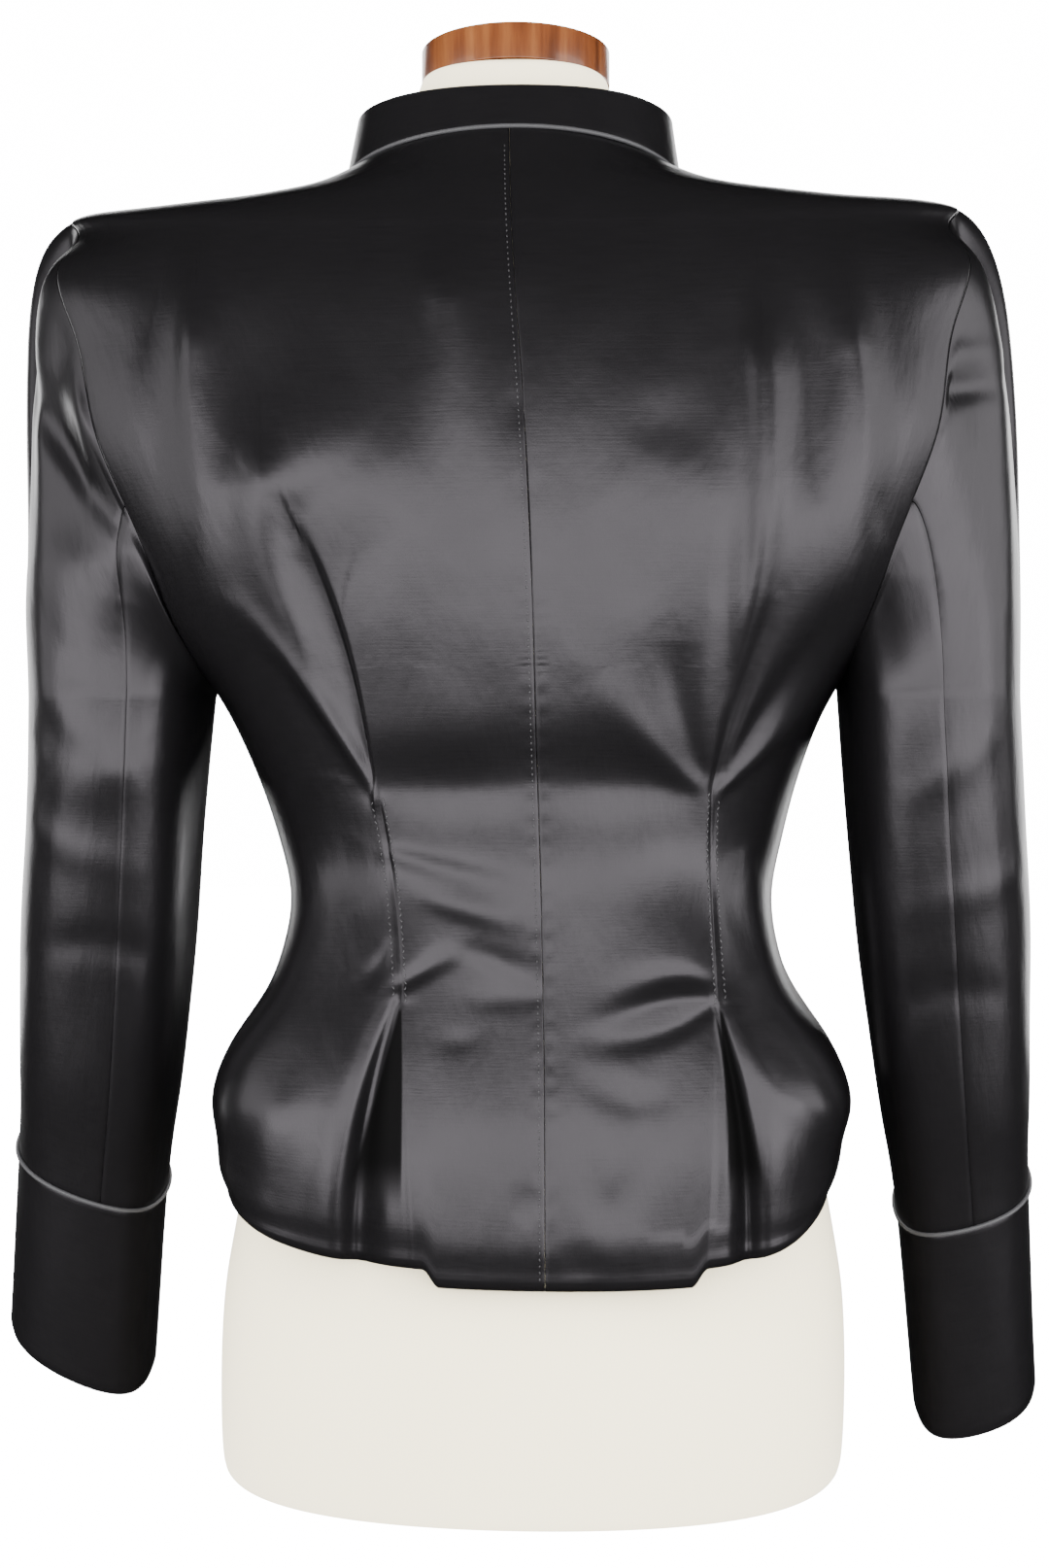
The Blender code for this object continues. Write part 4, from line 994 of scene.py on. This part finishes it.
def make_cap(wood):
    """Turn the wooden cap of the form's neck."""
    low, high = (np.array(corner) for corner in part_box("neck_cap"))
    centre, depth = (low + high) / 2, (high - low)[2]
    bpy.ops.object.select_all(action="DESELECT")
    bpy.ops.mesh.primitive_cylinder_add(vertices=128, radius=(high - low)[0] / 2, depth=depth,
                                        location=tuple(centre))
    cap = bpy.context.object
    cap.name = "turned_neck_cap"
    settle(cap)
    choose_faces(cap, lambda face: face.normal.z > 0.9)
    bpy.ops.mesh.inset(thickness=0.004)
    bpy.ops.mesh.inset(thickness=0.0006)
    bpy.ops.transform.translate(value=(0, 0, -0.0005))
    bpy.ops.mesh.inset(thickness=0.0006)
    bpy.ops.transform.translate(value=(0, 0, 0.0004))
    bpy.ops.mesh.inset(thickness=0.018)
    bpy.ops.mesh.inset(thickness=0.014)
    bpy.ops.object.mode_set(mode="OBJECT")
    edge = cap.modifiers.new("edge", "BEVEL")
    edge.width = 0.0018
    edge.segments = 4
    edge.limit_method = "ANGLE"
    edge.angle_limit = math.radians(60)
    apply_modifiers(cap)
    cap.data.shade_smooth()
    cap.data.set_sharp_from_angle(angle=math.radians(40))
    cap.data.materials.append(wood)
    finish(cap, "neck_cap")


class Value:
    """A shader value that adds its own Math nodes when it is reckoned with."""

    def __init__(self, paint, socket):
        self.paint, self.socket = paint, socket

    def __add__(self, other):
        return self.paint.sum("ADD", self, other)

    def __radd__(self, other):
        return self.paint.sum("ADD", other, self)

    def __sub__(self, other):
        return self.paint.sum("SUBTRACT", self, other)

    def __rsub__(self, other):
        return self.paint.sum("SUBTRACT", other, self)

    def __mul__(self, other):
        return self.paint.sum("MULTIPLY", self, other)

    def __rmul__(self, other):
        return self.paint.sum("MULTIPLY", other, self)


class Paint:
    """A material and the few ways its nodes are added."""

    def __init__(self, name, colour, **constants):
        self.material = bpy.data.materials.new(name)
        self.material.use_nodes = True
        self.material.diffuse_color = (*colour, 1.0)
        self.tree = self.material.node_tree
        self.shader = self.tree.nodes["Principled BSDF"]
        self.shader.inputs["Base Color"].default_value = (*colour, 1.0)
        for key, value in constants.items():
            self.shader.inputs[key.replace("_", " ")].default_value = value

    def node(self, kind, out=0, settings=None, **values):
        """Add a node, set its settings, then fill its sockets; return one output."""
        node = self.tree.nodes.new(kind)
        for key, value in (settings or {}).items():
            if key == "stops":
                ramp = node.color_ramp
                while len(ramp.elements) < len(value):
                    ramp.elements.new(0.5)
                for element, (place, colour) in zip(ramp.elements, value):
                    element.position, element.color = place, (*colour, 1.0)
            else:
                setattr(node, key, value)
        for key, value in values.items():
            numbered = key[0] == "i" and key[1:].isdigit()
            socket = node.inputs[int(key[1:]) if numbered else key.replace("_", " ")]
            if isinstance(value, Value):
                self.tree.links.new(value.socket, socket)
            else:
                socket.default_value = value
        return Value(self, node.outputs[out])

    def sum(self, operation, a, b):
        """Return a and b put together by a Math node."""
        return self.node("ShaderNodeMath", settings={"operation": operation}, i0=a, i1=b)

    def feed(self, name, value):
        """Link a value to a socket of the shader."""
        self.tree.links.new(value.socket, self.shader.inputs[name])

    def shadow(self, share):
        """Paint shade: let the surface fall to plain black by the share given."""
        black = self.tree.nodes.new("ShaderNodeBsdfDiffuse")
        black.inputs["Color"].default_value = (0.002, 0.002, 0.002, 1)
        mix = self.tree.nodes.new("ShaderNodeMixShader")
        self.tree.links.new(share.socket, mix.inputs[0])
        self.tree.links.new(self.shader.outputs[0], mix.inputs[1])
        self.tree.links.new(black.outputs[0], mix.inputs[2])
        self.tree.links.new(mix.outputs[0], self.tree.nodes["Material Output"].inputs["Surface"])

    def mix(self, factor, a, b):
        """Return a colour between a and b."""
        return self.node("ShaderNodeMix", out=2, settings={"data_type": "RGBA"}, i0=factor, i6=a, i7=b)


def satin_paint():
    """Black duchess satin: fine weave, faint slubs and a soft cloudy shine, with painted shade deep in the
    pleat wedges.
    """
    paint = Paint("black_satin", (0.004, 0.0038, 0.0042), Roughness=0.3, Specular_IOR_Level=0.5,
                  Specular_Tint=(0.985, 0.93, 1.0, 1.0))
    cloth_map = paint.node("ShaderNodeUVMap", settings={"uv_map": "cloth"})
    place = paint.node("ShaderNodeTexCoord", out=3)
    across = paint.node("ShaderNodeMapping", Vector=cloth_map, Scale=(2600, 700, 1))
    weave = paint.node("ShaderNodeTexNoise", Vector=across, Scale=1.0, Detail=2.0)
    slub = paint.node("ShaderNodeMapping", Vector=cloth_map, Scale=(60, 900, 1))
    slubs = paint.node("ShaderNodeTexNoise", Vector=slub, Scale=1.0, Detail=2.0)
    cloud = paint.node("ShaderNodeTexNoise", Vector=place, Scale=34.0, Detail=3.0)
    sunk = paint.node("ShaderNodeAttribute", out=2, settings={"attribute_name": "crease"})
    # the wedge under each tuck is made rougher and mixed towards plain black: painted shade of the deep pleat
    paint.feed("Roughness", 0.245 + cloud * 0.09 + slubs * 0.03 + sunk * 0.3)
    paint.shadow(sunk * 0.93)
    drag = paint.node("ShaderNodeMapping", Vector=cloth_map, Rotation=(0, 0, 0.35), Scale=(58, 26, 1))
    pucker = paint.node("ShaderNodeTexNoise", Vector=drag, Scale=1.0, Detail=3.0, Roughness=0.5)
    soft = paint.node("ShaderNodeBump", Strength=0.4, Distance=0.0012, Height=pucker)
    fine = paint.node("ShaderNodeBump", Strength=0.35, Distance=0.00018,
                      Height=weave * 0.5 + slubs * 0.5, Normal=soft)
    paint.feed("Normal", fine)
    paint.feed("Base Color", paint.mix(slubs, (0.003, 0.0028, 0.0032, 1), (0.005, 0.0048, 0.0054, 1)))
    return paint.material


def piping_paint():
    """Black satin piping, its colour lifted to charcoal as a painted highlight of its round edge, with its
    bias weave.
    """
    paint = Paint("grey_piping", (0.20, 0.20, 0.21), Roughness=0.45)
    place = paint.node("ShaderNodeTexCoord", out=3)
    weave = paint.node("ShaderNodeTexNoise", Vector=place, Scale=1400.0, Detail=2.0)
    # charcoal instead of the satin's black: painted highlight on the round piping
    paint.feed("Base Color", paint.mix(weave, (0.026, 0.026, 0.029, 1), (0.052, 0.052, 0.056, 1)))
    paint.feed("Normal", paint.node("ShaderNodeBump", Strength=0.3, Distance=0.0001, Height=weave))
    return paint.material


def jersey_paint():
    """Cream knitted cover of the dress form."""
    paint = Paint("cream_jersey", (0.86, 0.83, 0.74), Roughness=0.85, Sheen_Weight=0.15, Sheen_Roughness=0.6)
    cloth_map = paint.node("ShaderNodeUVMap", settings={"uv_map": "cloth"})
    place = paint.node("ShaderNodeTexCoord", out=3)
    rib = paint.node("ShaderNodeTexWave", out=1, settings={"bands_direction": "X"}, Vector=cloth_map,
                     Scale=160.0, Distortion=1.2, Detail=1.0)
    soft = paint.node("ShaderNodeTexNoise", Vector=place, Scale=9.0, Detail=3.0)
    paint.feed("Base Color", paint.mix(soft, (0.96, 0.87, 0.62, 1), (0.93, 0.83, 0.58, 1)))
    paint.feed("Normal", paint.node("ShaderNodeBump", Strength=0.12, Distance=0.0003, Height=rib))
    return paint.material


def wood_paint():
    """Turned wood under clear varnish, its grain upright in streaks."""
    paint = Paint("varnished_wood", (0.42, 0.17, 0.045), Roughness=0.32, Coat_Weight=0.5, Coat_Roughness=0.12)
    place = paint.node("ShaderNodeTexCoord", out=3)
    stretch = paint.node("ShaderNodeMapping", Vector=place, Scale=(120, 120, 9))
    streak = paint.node("ShaderNodeTexNoise", Vector=stretch, Scale=1.0, Detail=5.0, Roughness=0.6)
    broad = paint.node("ShaderNodeTexNoise", Vector=place, Scale=22.0, Detail=2.0)
    tone = paint.node("ShaderNodeValToRGB", Fac=streak * 0.7 + broad * 0.3, settings={
        "stops": ((0.30, (0.035, 0.007, 0.001)), (0.5, (0.11, 0.027, 0.003)), (0.72, (0.21, 0.07, 0.011)))})
    paint.feed("Base Color", tone)
    paint.feed("Roughness", 0.26 + streak * 0.14)
    paint.feed("Normal", paint.node("ShaderNodeBump", Strength=0.15, Distance=0.0004, Height=streak))
    return paint.material


def button_paint():
    """Polished black button with faint cloudiness."""
    paint = Paint("black_button", (0.010, 0.010, 0.011), Roughness=0.2, Coat_Weight=0.4)
    place = paint.node("ShaderNodeTexCoord", out=3)
    cloud = paint.node("ShaderNodeTexNoise", Vector=place, Scale=260.0, Detail=2.0)
    paint.feed("Roughness", 0.14 + cloud * 0.14)
    return paint.material


def thread_paint():
    """Black sewing thread with a little shine."""
    paint = Paint("black_thread", (0.03, 0.029, 0.032), Roughness=0.36, Specular_IOR_Level=0.7)
    place = paint.node("ShaderNodeTexCoord", out=3)
    twist = paint.node("ShaderNodeTexNoise", Vector=place, Scale=3000.0, Detail=1.0)
    paint.feed("Normal", paint.node("ShaderNodeBump", Strength=0.3, Distance=0.0001, Height=twist))
    return paint.material


def set_camera():
    """Look level at the back, as in the photograph."""
    camera = bpy.data.cameras.new("camera")
    camera.lens = 49.07
    camera.sensor_width = 36
    camera.clip_start = 0.01
    holder = bpy.data.objects.new("camera", camera)
    bpy.context.scene.collection.objects.link(holder)
    bpy.context.scene.camera = holder
    turn = math.radians(183)
    holder.location = (1.1 * math.sin(turn), -1.1 * math.cos(turn), 0.3415)
    holder.rotation_euler = (math.pi / 2, 0, turn)


def area_light(name, azimuth, low, high, width, far, strength):
    """Hang a soft upright panel of light round the part, between two heights."""
    light = bpy.data.lights.new(name, "AREA")
    light.shape = "RECTANGLE"
    light.size, light.size_y = width, high - low
    light.energy = strength * math.pi * width * (high - low)
    holder = bpy.data.objects.new(name, light)
    bpy.context.scene.collection.objects.link(holder)
    turn = math.radians(azimuth)
    holder.location = (far * math.sin(turn), -far * math.cos(turn), (low + high) / 2)
    holder.rotation_euler = (math.pi / 2, 0, turn)
    holder.visible_camera = False


FLOOR_GLOW = 15.0
SEEN_WHITE = 16.0
LIGHT_COLUMNS = ("name", "azimuth", "low", "high", "width", "far", "strength")    # metres, degrees
LIGHTS = (
    ("back_panel", 184, 0.14, 0.66, 3.0, 1.15, 3.6),
    ("back_panel_edge", 186, 0.04, 0.72, 3.8, 1.25, 1.3),
    ("front_high", 5, 0.95, 1.6, 1.6, 1.3, 4.0),
    ("front_left", 54, 0.05, 0.95, 0.9, 1.4, 4.0),
    ("front_right", 316, 0.05, 0.95, 0.9, 1.4, 4.0),
    ("low_left", 142, -0.12, 0.2, 0.7, 1.25, 2.6),
    ("low_right", 224, -0.12, 0.2, 0.8, 1.25, 3.2),
    ("side_left", 116, 0.28, 1.0, 1.0, 1.5, 2.2),
    ("side_right", 251, 0.28, 1.05, 1.1, 1.5, 3.2),
)


def set_studio():
    """Lay a pale floor and set soft lights round the part."""
    bpy.ops.mesh.primitive_circle_add(vertices=96, radius=6.0, fill_type="NGON", location=(0, 0, 0))
    floor = bpy.context.object
    floor.name = "floor"
    floor.data.materials.append(Paint("pale_floor", (0.95, 0.95, 0.95), Roughness=0.9,
                                      Emission_Color=(1, 1, 1, 1), Emission_Strength=FLOOR_GLOW).material)
    floor.visible_glossy = False
    floor.visible_diffuse = False
    world = bpy.data.worlds.new("studio")
    world.use_nodes = True
    tree = world.node_tree
    ray = tree.nodes.new("ShaderNodeLightPath")
    room = tree.nodes["Background"]
    room.inputs["Color"].default_value = (1, 0.985, 0.96, 1)
    room.inputs["Strength"].default_value = 3.4
    last = room
    for flag, strength in (("Is Glossy Ray", 0.01), ("Is Camera Ray", SEEN_WHITE)):
        seen = tree.nodes.new("ShaderNodeBackground")
        seen.inputs["Color"].default_value = (1, 1, 1, 1)
        seen.inputs["Strength"].default_value = strength
        mix = tree.nodes.new("ShaderNodeMixShader")
        tree.links.new(ray.outputs[flag], mix.inputs[0])
        tree.links.new(last.outputs[0], mix.inputs[1])
        tree.links.new(seen.outputs[0], mix.inputs[2])
        last = mix
    tree.links.new(last.outputs[0], tree.nodes["World Output"].inputs["Surface"])
    bpy.context.scene.world = world
    for row in LIGHTS:
        area_light(**dict(zip(LIGHT_COLUMNS, row)))


def main():
    """Dress the part."""
    set_camera()
    satin, piping, thread = satin_paint(), piping_paint(), thread_paint()
    make_form(jersey_paint())
    pieces = make_panels(satin)
    pieces.update(make_sleeves(satin, piping))
    pieces["collar"] = make_collar(satin, piping)
    make_stitches(thread)
    make_buttons(button_paint(), thread)
    make_cap(wood_paint())
    set_studio()


main()
